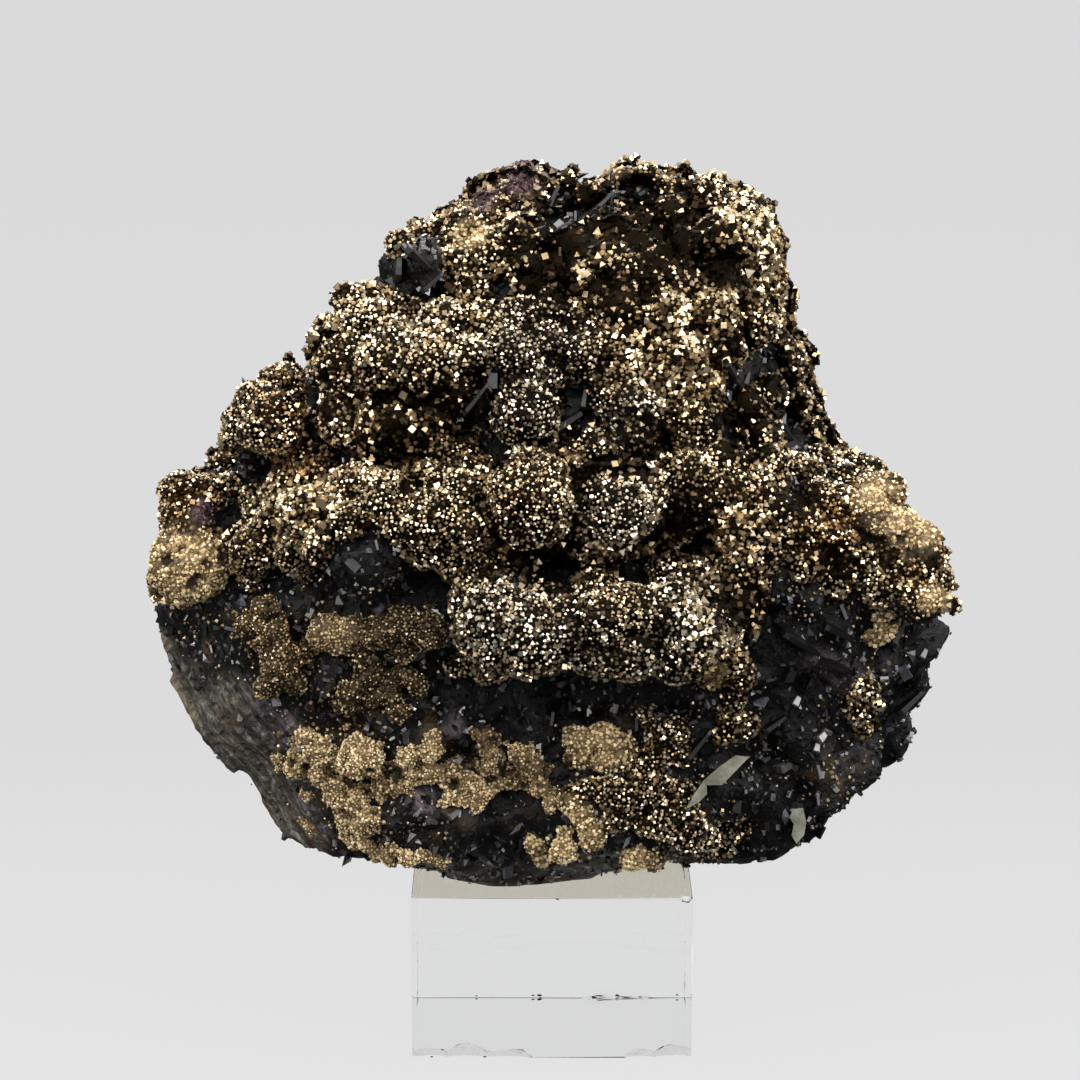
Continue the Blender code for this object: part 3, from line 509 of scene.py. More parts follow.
def makeCrystalTree(name, keepBase):
    tree = bpy.data.node_groups.new(name, "GeometryNodeTree")
    tree.is_modifier = True
    face = tree.interface
    face.new_socket("Geometry", in_out="INPUT", socket_type="NodeSocketGeometry")
    for label, value in (("Spacing", 0.0008), ("Size", 0.0005), ("Size Spread", 0.4), ("Flatness", 1.0),
                         ("Length", 1.0), ("Cube Share", 0.3)):
        face.new_socket(label, in_out="INPUT", socket_type="NodeSocketFloat").default_value = value
    face.new_socket("Seed", in_out="INPUT", socket_type="NodeSocketInt").default_value = 1
    face.new_socket("Finish", in_out="INPUT", socket_type="NodeSocketMaterial")
    face.new_socket("Geometry", in_out="OUTPUT", socket_type="NodeSocketGeometry")
    start = tree.nodes.new("NodeGroupInput").outputs

    def maths(operation, first, second):
        return combine(tree, operation, first, second)

    def named(label):
        found = addNode(tree, "GeometryNodeInputNamedAttribute", {"Name": label}, data_type="FLOAT")
        return found.outputs["Attribute"]

    def chance(low, high, seedOffset):
        seed = maths("ADD", start["Seed"], seedOffset)
        return addNode(tree, "FunctionNodeRandomValue", {2: low, 3: high, "Seed": seed}, data_type="FLOAT").outputs[1]

    area = maths("MULTIPLY", start["Spacing"], start["Spacing"])
    scatter = addNode(tree, "GeometryNodeDistributePointsOnFaces", {
        "Mesh": start["Geometry"], "Distance Min": start["Spacing"], "Density Max": maths("DIVIDE", 2.2, area),
        "Density Factor": named("open"), "Seed": start["Seed"]}, distribute_method="POISSON")
    # a random value per crystal that picks which crystals get a painted glint and which get painted dark
    tinted = addNode(tree, "GeometryNodeStoreNamedAttribute", {
        "Name": "glintTone", "Geometry": scatter.outputs["Points"], "Value": chance(0.04, 1.0, 11)},
        data_type="FLOAT", domain="POINT")

    # two kinds of crystal; the joined kinds come last first, so index 0 is the cube
    octahedron = addNode(tree, "GeometryNodeMeshUVSphere", {"Segments": 4, "Rings": 2, "Radius": 1.0})
    cube = addNode(tree, "GeometryNodeMeshCube", {"Size": (1.25, 1.25, 1.25)})
    kinds = tree.nodes.new("GeometryNodeJoinGeometry")
    for shape in (octahedron, cube):
        single = addNode(tree, "GeometryNodeGeometryToInstance", {0: shape.outputs["Mesh"]})
        plug(tree, single.outputs[0], kinds.inputs[0])
    pick = maths("GREATER_THAN", chance(0.0, 1.0, 47), start["Cube Share"])

    size = maths("MULTIPLY", start["Size"], maths("ADD", 1.0, maths("MULTIPLY", named("coarse"), 0.4)))
    least = maths("SUBTRACT", 1.0, start["Size Spread"])
    most = maths("ADD", 1.0, start["Size Spread"])
    size = maths("MULTIPLY", size, chance(least, most, 23))
    scale = addNode(tree, "ShaderNodeCombineXYZ", {
        0: maths("MULTIPLY", size, start["Length"]), 1: size, 2: maths("MULTIPLY", size, start["Flatness"])})
    turn = addNode(tree, "ShaderNodeCombineXYZ", {index: chance(0.0, 6.283, 31 + index) for index in range(3)})
    grow = addNode(tree, "GeometryNodeInstanceOnPoints", {
        "Points": tinted.outputs["Geometry"], "Instance": kinds.outputs[0], "Pick Instance": True,
        "Instance Index": pick, "Rotation": turn.outputs[0], "Scale": scale.outputs[0]})

    real = addNode(tree, "GeometryNodeRealizeInstances", {0: grow.outputs["Instances"]})
    flat = addNode(tree, "GeometryNodeSetShadeSmooth", {"Geometry": real.outputs[0], "Shade Smooth": False})
    result = flat.outputs[0]
    if keepBase:
        join = addNode(tree, "GeometryNodeJoinGeometry", {0: start["Geometry"]})
        plug(tree, result, join.inputs[0])
        result = join.outputs[0]
    coat = addNode(tree, "GeometryNodeSetMaterial", {"Geometry": result, "Material": start["Finish"]})
    addNode(tree, "NodeGroupOutput", {0: coat.outputs[0]})
    return tree


druseTree = makeCrystalTree("druseCrystals", True)
looseTree = makeCrystalTree("looseCrystals", False)


def growCrystals(obj, tree, values, material):
    modifier = obj.modifiers.new("Crystals", "NODES")
    modifier.node_group = tree
    inputs = {
        "Spacing": values["spacing"] * mm,
        "Size": values["size"] * mm,
        "Size Spread": values["sizeSpread"],
        "Flatness": values.get("flatness", 1.0),
        "Length": values.get("length", 1.0),
        "Cube Share": values.get("cubeShare", 0.3),
        "Seed": values["seed"],
        "Finish": material,
    }
    for item in tree.interface.items_tree:
        if item.in_out == "INPUT" and item.name in inputs:
            modifier[item.identifier] = inputs[item.name]
    settle(obj)


# Host rock

rockValues = {
    "voxel": 1.02,
    "seatHeight": 31.0,  # below this the rock stays flat, over the block
    "chunk": 0.9,
    "chunkScale": 190.0,
    "fine": 0.35,
    "fineScale": 260.0,
    "steps": [(230.0, 0.9), (480.0, 0.35)],  # slanting steps on broken faces: per metre, depth
    "stepSlant": (0.79, 0.62),
    "broken": [(-72.5, 44, 3), (-70, 37, 5), (-66, 32, 5), (-62, 29, 6), (-55.6, 21.6, 7), (-49.1, 13.3, 6),
               (-44.5, 8.7, 4), (-59.3, 34, 5), (-52, 27, 4.5), (-50, 6, 5)],
    "olive": [(-73.5, 46, 3.2), (-72.5, 40, 3), (-70, 35, 2.6), (-67, 31, 2.0)],
    # purple: where the rock gets its painted sheen
    "purple": [(-48.6, 28.6, 3.2), (-53, 34, 2.5), (-46, 17, 2), (50, 41, 3), (54, 38.5, 3), (-24, 16, 2.5),
               (-18, 30, 2)],
    "dust": [(-30, 20, 16), (-36, 42, 12), (8, 16, 14), (32, 9, 7), (-66, 46, 7), (52, 22, 6)],
}


def buildRock(name, values):
    rock = newObject(name, cadMesh("matrix_rock"))
    voxelSkin(rock, values["voxel"], 0)
    followOutline(rock)
    broken = spotMask(rock, values["broken"])
    coords = points(rock)
    facing = normals(rock)
    for index in range(len(coords)):
        spot = Vector(coords[index])
        if spot.z < values["seatHeight"] * mm:
            continue
        near = noise.voronoi(spot * values["chunkScale"])
        chunk = (0.55 - near[0][0]) * values["chunk"] * (1.0 - 0.75 * broken[index])
        ridge = noise.ridged_multi_fractal(spot * values["fineScale"], 1.0, 2.1, 4, 1.0, 2.0)
        push = chunk + (ridge - 1.2) * values["fine"] - 0.15
        if broken[index] > 0.05:
            for rate, depth in values["steps"]:
                along = (spot.x * values["stepSlant"][0] + spot.z * values["stepSlant"][1]) * rate
                along += 1.4 * noise.noise(spot * 70.0)
                push += broken[index] * depth * (along - math.floor(along) - 0.6)
        coords[index] = spot + Vector(facing[index]) * min(push, 0.5) * mm
    move(rock, coords)
    store(rock, "broken", broken)
    for mask in ("purple", "dust", "olive"):
        store(rock, mask, spotMask(rock, values[mask]))
    rock.data.materials.append(rockMaterial)
    return rock


rock = buildRock("hostRock", rockValues)
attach(rock, "root")
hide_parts("matrix_rock")
print("rock", len(rock.data.polygons))

# Pyrite crust: lumps seated on the rock, each across, up and radius as seen from the front

# What a crust has where: tones, black hollows darkened by painted shade, and places with more or less painted light
spotValues = {
    "ochre": [(-67, 58.5, 7.3), (-15, 120.4, 2.6), (60.2, 71.4, 4.2), (65.4, 66, 4.8), (69, 65, 3), (70.3, 53, 2.6),
              (61.5, 47.8, 4), (8.6, 27.1, 5.8), (2.5, 9, 6.5), (10.8, 133, 2.4), (30, 39, 2), (-3, 6, 5),
              (15.5, 6, 4), (-40.5, 46.5, 4.5)],
    "silver": [(-3, 97, 10), (12.3, 68.6, 8), (-8, 49, 9), (4, 46, 8), (26, 50, 8), (-4, 87, 7), (20, 44, 7),
               (14, 86, 7)],
    "warm": [(68.3, 58.5, 4.5), (-50.6, 44.6, 6), (-66, 72, 5), (-50, 89, 5), (-6, 70, 2.5), (52, 66, 7),
             (-47, 81, 6)],
    "coarse": [(23, 99, 12), (6, 115, 6), (36, 116, 9), (-28, 84, 8), (-46, 71, 7), (36, 66, 6), (16, 83, 6),
               (31, 49, 8)],
    "purple": [(-5.4, 130.4, 3.2), (-12.3, 126.7, 2.2), (-64, 69, 2.2)],
    # black: hollows where the crust sinks and thins and its crystals get painted shade
    "black": [(-59.8, 61, 1.8), (2, 127.5, 2.6), (-2.5, 124.5, 2.4), (10.5, 121.5, 2.2), (16, 119, 2.0),
              (40.5, 97.5, 2.6), (45.5, 88.5, 1.6), (33, 82.5, 2.2), (60.5, 63.6, 1.5), (57.5, 65.2, 1.2),
              (64.5, 64, 1.2), (-17, 25.5, 2.0), (-33.5, 20.8, 1.2), (0.6, 21.5, 1.9), (-1.5, 25.5, 1.4),
              (-11.2, 19.8, 0.9), (4.6, 130.4, 3.0), (-0.5, 130.6, 2.2), (3.4, 126.8, 4.6), (-1.2, 128.8, 2.4),
              (8.9, 126.1, 2.6), (16.3, 127.5, 3.2), (-71, 60.2, 1.1), (6.2, 120.2, 3.2), (-63.6, 59.4, 0.9),
              (-66.3, 55.7, 1.4), (-65, 56.9, 0.8), (-68.5, 62.5, 0.7), (-45.5, 97, 1.8), (-3.5, 60, 3.6),
              (0.5, 58.5, 3.2), (4, 59, 2.4), (25.5, 64, 3), (23, 67.5, 2.4), (9, 78, 1.5), (13, 78, 1.5),
              (17, 78.5, 1.5), (-26, 74.5, 1.7), (-31.5, 90, 1.7), (-24, 80.5, 1.6), (22.6, 119.3, 2.6),
              (33.3, 114.1, 3.4), (27.4, 123.9, 2.4), (19.1, 115.3, 2.2), (-47.9, 22.9, 1.0), (-45, 21.9, 0.9),
              (-36.8, 19.7, 1.2), (-33.5, 18.3, 1.6), (-28.9, 20.8, 1.7), (-32.7, 14.2, 1.3), (-43, 13.6, 1.1),
              (-43.4, 9.6, 1.0), (-40.8, 13.3, 1.1), (-24.5, 18.6, 1.2), (-18, 19, 1.1), (62.5, 61.3, 1.4),
              (66.5, 61.5, 1.4), (70, 61.5, 1.4), (-4, 111, 3.3), (-0.3, 115.2, 3), (3.4, 118.7, 2.6),
              (1.6, 110.1, 2.2), (20.6, 121.5, 2), (31.4, 112.9, 2.4), (7.1, 122.6, 1.9), (34.8, 99, 3),
              (39.4, 96.3, 3.1), (42.1, 92.6, 2.2), (32.4, 85.2, 2.8), (43.4, 87, 2.6), (44, 82.4, 2.2),
              (51, 83.9, 1.9), (-12.3, 93.5, 2.6), (-13.6, 88, 2.8), (-16, 85.2, 2.2), (3.8, 89.8, 3.3),
              (4.3, 85.2, 2.2), (-4, 81, 1.7), (-9.5, 80.2, 1.7), (-0.3, 81.5, 1.7), (5.6, 76.5, 1.9),
              (21.9, 64.9, 3.3), (18.2, 62.1, 2.6), (2.9, 61.8, 2.6), (-43, 92.6, 2.4), (-43, 87.6, 2.6),
              (-44.2, 82.8, 2.2), (-54.7, 76.9, 3.1)],
    # places with painted highlight, where tops are lit from above
    "paintedHighlight": [(-36, 105.5, 5), (-28, 105, 6), (-20, 104.5, 6), (-12, 104, 5), (39, 122, 4), (-51, 71, 4),
               (-4, 49, 7), (-10, 47, 6), (-30, 69, 6), (-20, 69, 6), (-38, 70, 5), (62, 60, 5), (24, 45, 5),
               (1, 70, 5), (13, 68, 6), (-2, 64, 4), (-36, 24.5, 5), (-33.5, 15, 4)],
    "dim": [(11, 109, 5), (36, 83, 5), (-15.4, 26.7, 3), (-11.5, 27.5, 3), (-6, 21, 4), (20, 121, 6), (28, 118, 6),
            (-4, 119, 5), (4, 124, 6), (12, 127, 5), (24, 126, 4), (13, 120, 4), (0, 112, 4), (-30, 82, 5),
            (34, 88, 5), (45, 72, 4), (52, 60, 3.5), (27, 70, 4), (-20, 88, 5), (17, 83, 4.5), (16, 112, 5),
            (34, 52, 5), (-16, 24, 4), (0, 21, 5)],
}


# What holds where a crust's own values don't say otherwise
crustValues = {
    "share": 0.88, "core": 1.0, "knobs": (0.22, 0.38), "knobCount": 1.0, "scatter": 0.0,
    # gain scales a whole crust's painted light and shade
    "rough": 0.25, "roughScale": 260.0, "pits": 0.0, "ochre": 0.0, "litGain": 1.0,
}

crownValues = {
    "lift": 0.2, "power": (2.2, 3.2), "seed": 3,
    "spacing": 0.68, "size": 0.46, "sizeSpread": 0.42, "voxel": 0.95,
    "lumps": [
        (-15.5, 125.5, 3.5), (-12, 128.5, 3.5), (-8, 131.3, 3.6), (-4, 132.4, 3.3), (-0.5, 131.4, 2.6),
        (-16, 121, 4.5), (-18, 118, 3.5), (-12, 122, 4), (-17, 114, 4.5), (-11, 116, 5.5), (-5, 119, 5.5),
        (-14, 110.5, 4), (-4, 113.5, 4.5), (-24, 121, 3.5), (-28, 118.5, 2.8), (-20, 122.5, 3), (3, 131.5, 2.5),
        (8, 132, 3), (13, 132.5, 2.5), (19, 132, 3), (21.5, 129, 3.5), (5, 117, 5), (4, 112, 4), (10, 116, 4.5),
        (10, 121, 4.5), (17, 122, 3), (16, 113, 6), (16, 118, 4), (24, 117, 5.5), (22, 123, 4.5), (23, 111, 5),
        (28.5, 127.5, 4), (32, 126, 5), (37, 124, 5), (39, 118, 5), (32, 119, 6), (38, 111, 6), (37, 116, 4.5),
        (34.5, 123, 4), (40, 121, 3.5), (35, 108, 5), (40, 114.5, 4), (31, 111, 5.5), (42, 113, 3.5), (41, 106, 5),
        (13, 106, 5.5), (21, 105, 6), (29, 105, 6), (36, 104, 5.5), (15, 99, 5.5), (23, 98, 6), (31, 99, 5),
        (20, 92, 5.5), (27, 91, 5), (44, 101, 3.9), (46.6, 96, 4.5), (47, 90, 4.4), (40, 91, 4), (36, 88.5, 4),
        (42.4, 108, 3.6), (43, 104, 3.8),
    ],
}
shoulderValues = {
    "lift": 0.25, "power": (2.4, 3.8), "seed": 5,
    "spacing": 0.66, "size": 0.45, "sizeSpread": 0.42, "voxel": 0.9,
    "lumps": [
        (-37.5, 109, 2.6), (-34, 109.5, 2.4), (-30, 108.5, 2.5), (-39, 103.5, 4.5), (-33, 103.5, 5.5),
        (-26, 103.5, 5.5), (-19, 103.5, 5.5), (-12.5, 103, 5), (-43, 100, 4), (-38, 96.5, 5.5), (-28, 100.5, 4),
        (-22, 100.5, 4), (-30.5, 96.5, 6.5), (-23, 96.5, 6), (-16, 97, 5), (-37.5, 86.5, 5.5), (-30, 85.5, 6.5),
        (-23, 86, 5.5), (-33, 81, 3.5), (-18, 91, 4), (-17, 84, 3.5),
    ],
}
middleValues = {
    "lift": 0.3, "power": (2.5, 4.0), "seed": 7,
    "spacing": 0.60, "size": 0.39, "sizeSpread": 0.40, "voxel": 0.9,
    "lumps": [
        (-6, 104.5, 5), (0, 106, 4.5), (5, 104.5, 4), (-7.5, 98, 6), (-1, 99.5, 5), (-9, 92.5, 4), (-3, 93, 5),
        (-4.5, 87, 6.5), (6.5, 98, 5.5), (13, 95, 5), (9.5, 92, 4), (15, 88, 6), (15, 82.5, 4.5), (19.5, 85, 4),
        (26, 86, 5.5), (24, 80.5, 4), (3, 82, 3.5), (8, 81, 3.5), (4.5, 78, 3), (10, 100.5, 4), (-48, 74, 4.5),
        (-43, 76, 3.8), (-46, 69, 4.8), (-50.5, 68.5, 3.5), (-36, 72.5, 5.5), (-30.5, 71, 5.5), (-37, 67.5, 4),
        (-28, 67.5, 4.5), (-21.5, 74, 5), (-16, 72.5, 5), (-22.5, 68, 6), (-16, 66, 5), (-24, 62.5, 3.8),
        (-18.5, 61.5, 4), (-22, 79.5, 3.5), (-16.5, 78.5, 3.8), (-11.8, 76, 3.5), (-3.8, 72, 8.2), (-4.5, 67.3, 5.2),
        (12.5, 69.5, 6.6), (8.6, 71.5, 4.8), (16, 70.5, 5), (14.5, 65.5, 4.6), (12, 74.5, 3.6), (16, 75, 2.6),
        (6, 65.5, 4.5), (6, 73, 4), (17.5, 73.5, 4), (17, 67, 4.5), (12, 64, 4), (26, 75.5, 5), (28, 71, 4),
        (22.5, 77, 3.5), (24, 67.5, 3.5), (-54.5, 62, 5), (-54.5, 57.5, 3.2), (-46.5, 62, 4.6), (-42, 62.5, 3.5),
        (-44.5, 58.5, 2.8),
    ],
}
leftValues = {
    "lift": 0.2, "power": (2.4, 3.6), "share": 0.86, "seed": 9,
    "spacing": 0.62, "size": 0.41, "sizeSpread": 0.40, "voxel": 0.85,
    "lumps": [
        (-49.5, 92.5, 4.4), (-54, 89, 4.5), (-57, 85, 4.2), (-52, 85.5, 6), (-59, 82, 2.8), (-46.5, 85.5, 3.5),
        (-59.8, 78, 2.8), (-58.8, 73.5, 3.2), (-68.3, 72.5, 4.3), (-63.5, 72.5, 4), (-69, 67.8, 3.6),
        (-65.5, 67.5, 3.5), (-54.5, 71.5, 3.2), (-54, 68, 3), (-50.5, 72, 3.5), (-67, 59.5, 7.2), (-69.6, 62, 3.8),
        (-63.5, 57, 4), (-68, 54.8, 3.5), (-47, 81, 3.2), (-41.5, 79, 3.2),
    ],
}
rightValues = {
    "lift": 0.2, "power": (2.2, 3.4), "seed": 11,
    "spacing": 0.64, "size": 0.43, "sizeSpread": 0.40, "voxel": 0.9,
    "lumps": [
        (32, 78, 4.5), (38.5, 83, 4.5), (40.5, 78, 4), (33.5, 72.5, 5), (37.5, 73, 4.8), (41, 69, 4.3),
        (35.5, 66.5, 5.5), (40.5, 64.5, 4.3), (36.5, 60.5, 4.8), (33.5, 57, 3.8), (38, 56, 3.3), (46, 75.5, 4.8),
        (49.5, 79, 3), (49.5, 70.5, 5), (46.5, 66, 4.5), (53, 69.5, 5), (51, 64, 5.5), (56, 64, 4.5), (47, 60, 4),
        (57, 59, 4), (60.5, 55, 3.6), (52, 57.5, 4), (54.5, 79, 4.5), (59, 77, 4), (54, 74.5, 4), (61, 72.5, 4.3),
        (58, 69.5, 4.3), (64, 66, 4.3), (68.5, 64, 3.4), (61, 66, 4), (67.5, 59.5, 5), (71, 56.5, 3.4),
        (69.5, 53.6, 2.6), (71, 51.5, 2.0), (68, 51.2, 2.0), (66.3, 53.8, 2.2), (47.5, 84, 3.2), (36, 76.3, 1.9),
        (38, 73.8, 1.8), (40, 71.2, 1.8), (42, 68.4, 1.8), (44, 65.6, 1.9), (60, 71, 2.6), (62.5, 67.5, 2.6),
        (65.5, 65.6, 2.4), (68.5, 64, 2.2), (70.6, 62, 1.8),
    ],
}
shelfValues = {
    "lift": 0.3, "power": (2.2, 3.2), "seed": 13,
    "spacing": 0.63, "size": 0.42, "sizeSpread": 0.42, "voxel": 0.9,
    "lumps": [
        (-11.5, 57.6, 4.3), (-7.2, 55.2, 2.6), (-14.5, 52.5, 4.5), (-10.5, 49.5, 6.8), (-14, 46.5, 4), (-5, 49.3, 5),
        (-4, 44.8, 6), (-9.5, 43.8, 5), (2, 46.5, 5.5), (3.2, 49.6, 4.2), (8, 54.6, 4.2), (9.5, 49.5, 6),
        (8, 43.8, 5), (15.5, 50.5, 5.5), (14.5, 44, 6), (19.5, 46.5, 4.5), (24, 56, 6), (25.5, 60.2, 4),
        (20.5, 58, 3.6), (21.5, 51, 5.5), (29.5, 53, 5.5), (26.5, 46, 6.3), (22.5, 41.5, 4), (31.5, 48, 4),
        (33.5, 52.5, 4.3), (35.5, 49, 3), (32.5, 42.5, 3.8), (35, 39.5, 3.2), (29.5, 39.3, 3), (-17.5, 41, 2.4),
        (-14.5, 41.5, 2.8), (-12, 39.6, 2.4), (33.5, 35.3, 2.8), (33, 31.5, 2.6), (36, 29.8, 2.6),
        (31.8, 28.5, 2.4),
    ],
}
basinValues = {
    "lift": 0.5, "power": (2.2, 3.0), "share": 0.86, "seed": 15,
    "spacing": 0.48, "size": 0.27, "sizeSpread": 0.45, "voxel": 0.62,
    "lumps": [
        (-41, 47, 4.5), (-36.5, 46.5, 4), (-32, 47, 4), (-27, 48.5, 4.3), (-22.5, 47.5, 4.3), (-53, 51, 3.2),
        (-51.5, 46.5, 4), (-50, 42, 4.6), (-52, 37.5, 3.2), (-47.8, 38, 2.8), (-35.5, 42.5, 2.5), (-34, 39.5, 3),
        (-31, 38, 2.8), (-29.5, 35.5, 3), (-27.2, 39, 2.6), (-27, 43, 2.4), (-24.5, 37.5, 2.2), (-37.3, 36, 3),
        (-33.2, 35.5, 3), (-38.6, 33.8, 2.3), (-28.8, 32.2, 2.2), (-56.5, 48, 2.4), (-45.5, 43.5, 2.6),
    ],
    "ochre": 0.3, "litGain": 0.7, "rough": 0.6, "roughScale": 330.0, "pits": 0.8,
    "core": 0.78, "knobs": (0.18, 0.36), "knobCount": 2.6, "scatter": 1.8,
}
laceValues = {
    "lift": 0.6, "power": (2.0, 2.6), "share": 0.86, "seed": 17,
    "spacing": 0.47, "size": 0.29, "sizeSpread": 0.5, "voxel": 0.58,
    "lumps": [
        (-45.2, 27.3, 2.4), (-43.3, 25, 3.2), (-46.5, 22.7, 3.2), (-42.5, 21.3, 3), (-50, 23.6, 2), (-35, 24, 4.9),
        (-38.8, 19.5, 2.8), (-39.2, 16.5, 3.2), (-36, 15.5, 2.6), (-34.3, 17.8, 2), (-31, 18.8, 2.6),
        (-28, 19.5, 2.8), (-25, 20.5, 2.5), (-22, 21, 2.2), (-26.8, 23.8, 2.3), (-22, 25, 2.3), (-21.5, 27.5, 1.9),
        (-18.2, 21, 2.6), (-15.8, 19, 3), (-13, 18, 2.8), (-13.6, 15.3, 2), (-18.5, 16.8, 1.9), (-12.2, 28, 2.1),
        (-11.6, 25.2, 2.1), (-11.2, 22.3, 2.3), (-10, 19.8, 2.3), (-37.6, 12.8, 3), (-36.6, 9.8, 3), (-34, 8.4, 2.4),
        (-42.8, 11, 2.8), (-43.5, 14.4, 2), (-39.8, 8.2, 2.4), (-33, 13.2, 2.2), (-5.2, 24, 3.3), (-3, 21.5, 2.8),
        (-6.6, 20.3, 2.4), (-2, 18.3, 2.1), (0, 16, 2), (-38.5, 22.5, 2.6), (-44.8, 17.5, 2.2), (-45.5, 13.5, 2.2),
        (-41, 6.4, 2.4), (-37.2, 6, 2.2), (-31.8, 6.4, 2.2), (-39.9, 17.9, 2.6), (-34.4, 11.4, 2.6),
        (-29.6, 5.4, 1.8), (-26.5, 5.2, 1.6), (-23.5, 5.6, 1.7), (-20.5, 5.2, 1.5),
    ],
    "ochre": 0.85, "litGain": 1.3, "rough": 0.75, "roughScale": 400.0, "pits": 1.2,
    "core": 0.84, "knobs": (0.16, 0.34), "knobCount": 3.0, "scatter": 2.6,
}
footValues = {
    "lift": 0.5, "power": (2.2, 3.0), "share": 0.86, "seed": 19,
    "spacing": 0.58, "size": 0.38, "sizeSpread": 0.42, "voxel": 0.72,
    "lumps": [
        (4.8, 27.3, 3.4), (9.3, 27.6, 3.6), (13, 26, 3), (4.6, 23.8, 2.5), (9.5, 23, 3), (14.5, 22.7, 2.6),
        (22.5, 29, 3.4), (20.5, 25, 3.5), (17.5, 21.6, 3.5), (24, 24.2, 2.8), (19.2, 29, 2), (17, 32, 1.8),
        (3, 16, 3), (7, 17.6, 3.2), (11.2, 17.4, 3.8), (15.3, 16.4, 4), (19.6, 17.6, 3.8), (12, 12.6, 3),
        (17.6, 12, 3.3), (22.3, 13.6, 3.3), (24.3, 17.4, 2.8), (26.3, 12, 2.8), (5.8, 13.2, 3), (7.6, 9.6, 3.3),
        (-3, 8.3, 2.5), (-1.8, 5.6, 2.4), (2.3, 7, 3.2), (21, 10, 2.3), (24.3, 8.6, 2.4), (29, 9.2, 2.8),
        (32.2, 10.2, 3.2), (35.2, 11, 2.3), (31, 7.3, 2.8), (27.8, 6.3, 1.9), (15.5, 6, 3.6), (19, 5.4, 3),
    ],
    "core": 0.8, "knobs": (0.2, 0.38), "knobCount": 1.8, "scatter": 1.2,
    "litGain": 1.3, "rough": 0.45, "roughScale": 330.0, "pits": 0.5,
}
knobValues = {
    "lift": 0.8, "power": (2.0, 2.6), "share": 0.86, "seed": 21,
    "spacing": 0.72, "size": 0.5, "sizeSpread": 0.4, "voxel": 0.7,
    "core": 0.8, "knobCount": 1.6, "scatter": 1.6,
    "litGain": 1.1, "rough": 0.8, "roughScale": 330.0, "pits": 0.6,
    "lumps": [(57.8, 36, 3.2), (57, 32.5, 3.2), (59.8, 33.8, 2.4), (57.6, 28.8, 2.2), (61.8, 48, 2.2),
              (60.4, 46.4, 2.1), (63, 46.4, 1.7), (60.6, 49.8, 1.5), (63.6, 48.6, 1.3), (59, 45.2, 1.3)],
}


def rockSide(obj, depth=0.25):
    # 1 where a point is outside the rock, 0 where the rock hides it
    found = np.ones(len(obj.data.vertices))
    for index, vert in enumerate(obj.data.vertices):
        spot, normal, _, _ = rockTree.find_nearest(vert.co)
        if (vert.co - spot).dot(normal) < -depth * mm:
            found[index] = 0.0
    return found


def roughen(obj, scale, amount, pits):
    # broken, pitted surface before the crystals go on
    coords = points(obj)
    facing = normals(obj)
    push = np.zeros(len(coords))
    for index in range(len(coords)):
        spot = Vector(coords[index])
        push[index] = amount * noise.fractal(spot * scale, 1.0, 2.0, 3)
        if pits:
            near = noise.voronoi(spot * scale * 1.3)[0][0]
            push[index] -= pits * max(0.0, 1.0 - near / 0.22)
    move(obj, coords + facing * (push * mm)[:, None])


def markCrust(obj, evenOchre=0.0, litGain=1.0, faint=1.0, darkest=0.25):
    height = relief(obj, 24) * faint
    masks = {name: spotMask(obj, spots) for name, spots in spotValues.items()}
    masks["black"] *= np.clip((towardsEye(obj) - 0.1) / 0.3, 0.0, 1.0)
    masks["ochre"] = np.maximum(masks["ochre"], evenOchre)
    black = masks.pop("black")
    dim = masks.pop("dim")
    # painted shade and light: lit is lower in crevices and higher on tops from the relief, lowest on black spots,
    # lower on dim spots and higher on the spots of painted highlight, and a crust-wide gain scales it
    lit = litGain * np.clip(0.95 + height * 0.9, darkest, 1.12) * (1.0 - 0.85 * black)
    lit *= (1.0 - 0.5 * dim) * (1.0 + 0.35 * masks.pop("paintedHighlight"))
    # crevices go deeper, black places sink
    push = np.clip(height * 0.9, -1.3, 0.15) - 1.2 * black
    move(obj, points(obj) + normals(obj) * (push * mm)[:, None])
    store(obj, "open", rockSide(obj) * (1.0 - 0.35 * dim) * (1.0 - 0.85 * black))
    store(obj, "lit", lit)
    for name, mask in masks.items():
        store(obj, name, mask)


def growCrust(name, values):
    values = {**crustValues, **values}
    rng = random.Random(values["seed"])
    bm = bmesh.new()
    for across, up, radius in values["lumps"]:
        centre = seat(across, up, radius, values["lift"])
        turn = Euler((rng.uniform(-0.5, 0.5), rng.uniform(-0.6, 0.6), rng.uniform(-0.6, 0.6)))
        reach = radius * values["share"] * mm
        core = reach * values["core"]
        addLump(bm, centre, [core * rng.uniform(0.92, 1.04) for _ in range(3)], rng.uniform(*values["power"]), turn)
        # small knobs over each lump
        for _ in range(int((3 + radius * 1.6) * values["knobCount"])):
            way = Vector((rng.uniform(-1, 1), rng.uniform(-1, 0.1), rng.uniform(-1, 1))).normalized()
            small = max(reach * rng.uniform(*values["knobs"]), 0.45 * mm)
            addLump(bm, centre + way * (reach - small * rng.uniform(0.6, 1.5)), [small] * 3, 2.6, turn, 1)
        # nodules on the rock round it, so its outline is ragged
        for _ in range(int(values["scatter"] * radius)):
            away = rng.uniform(0.75, 1.35) * radius
            angle = rng.uniform(0.0, 2.0 * math.pi)
            small = rng.uniform(0.45, 0.85)
            spot = seat(across + away * math.cos(angle), up + away * math.sin(angle), small, 0.3)
            addLump(bm, spot, [small * mm] * 3, 2.6, turn, 1)
    crust = newObject(name, bm)
    voxelSkin(crust, values["voxel"], 1)
    roughen(crust, values["roughScale"], values["rough"], values["pits"])
    markCrust(crust, values["ochre"], values["litGain"])
    growCrystals(crust, druseTree, values, druseMaterial)
    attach(crust, "root")
    print(name, len(crust.data.polygons))
    return crust


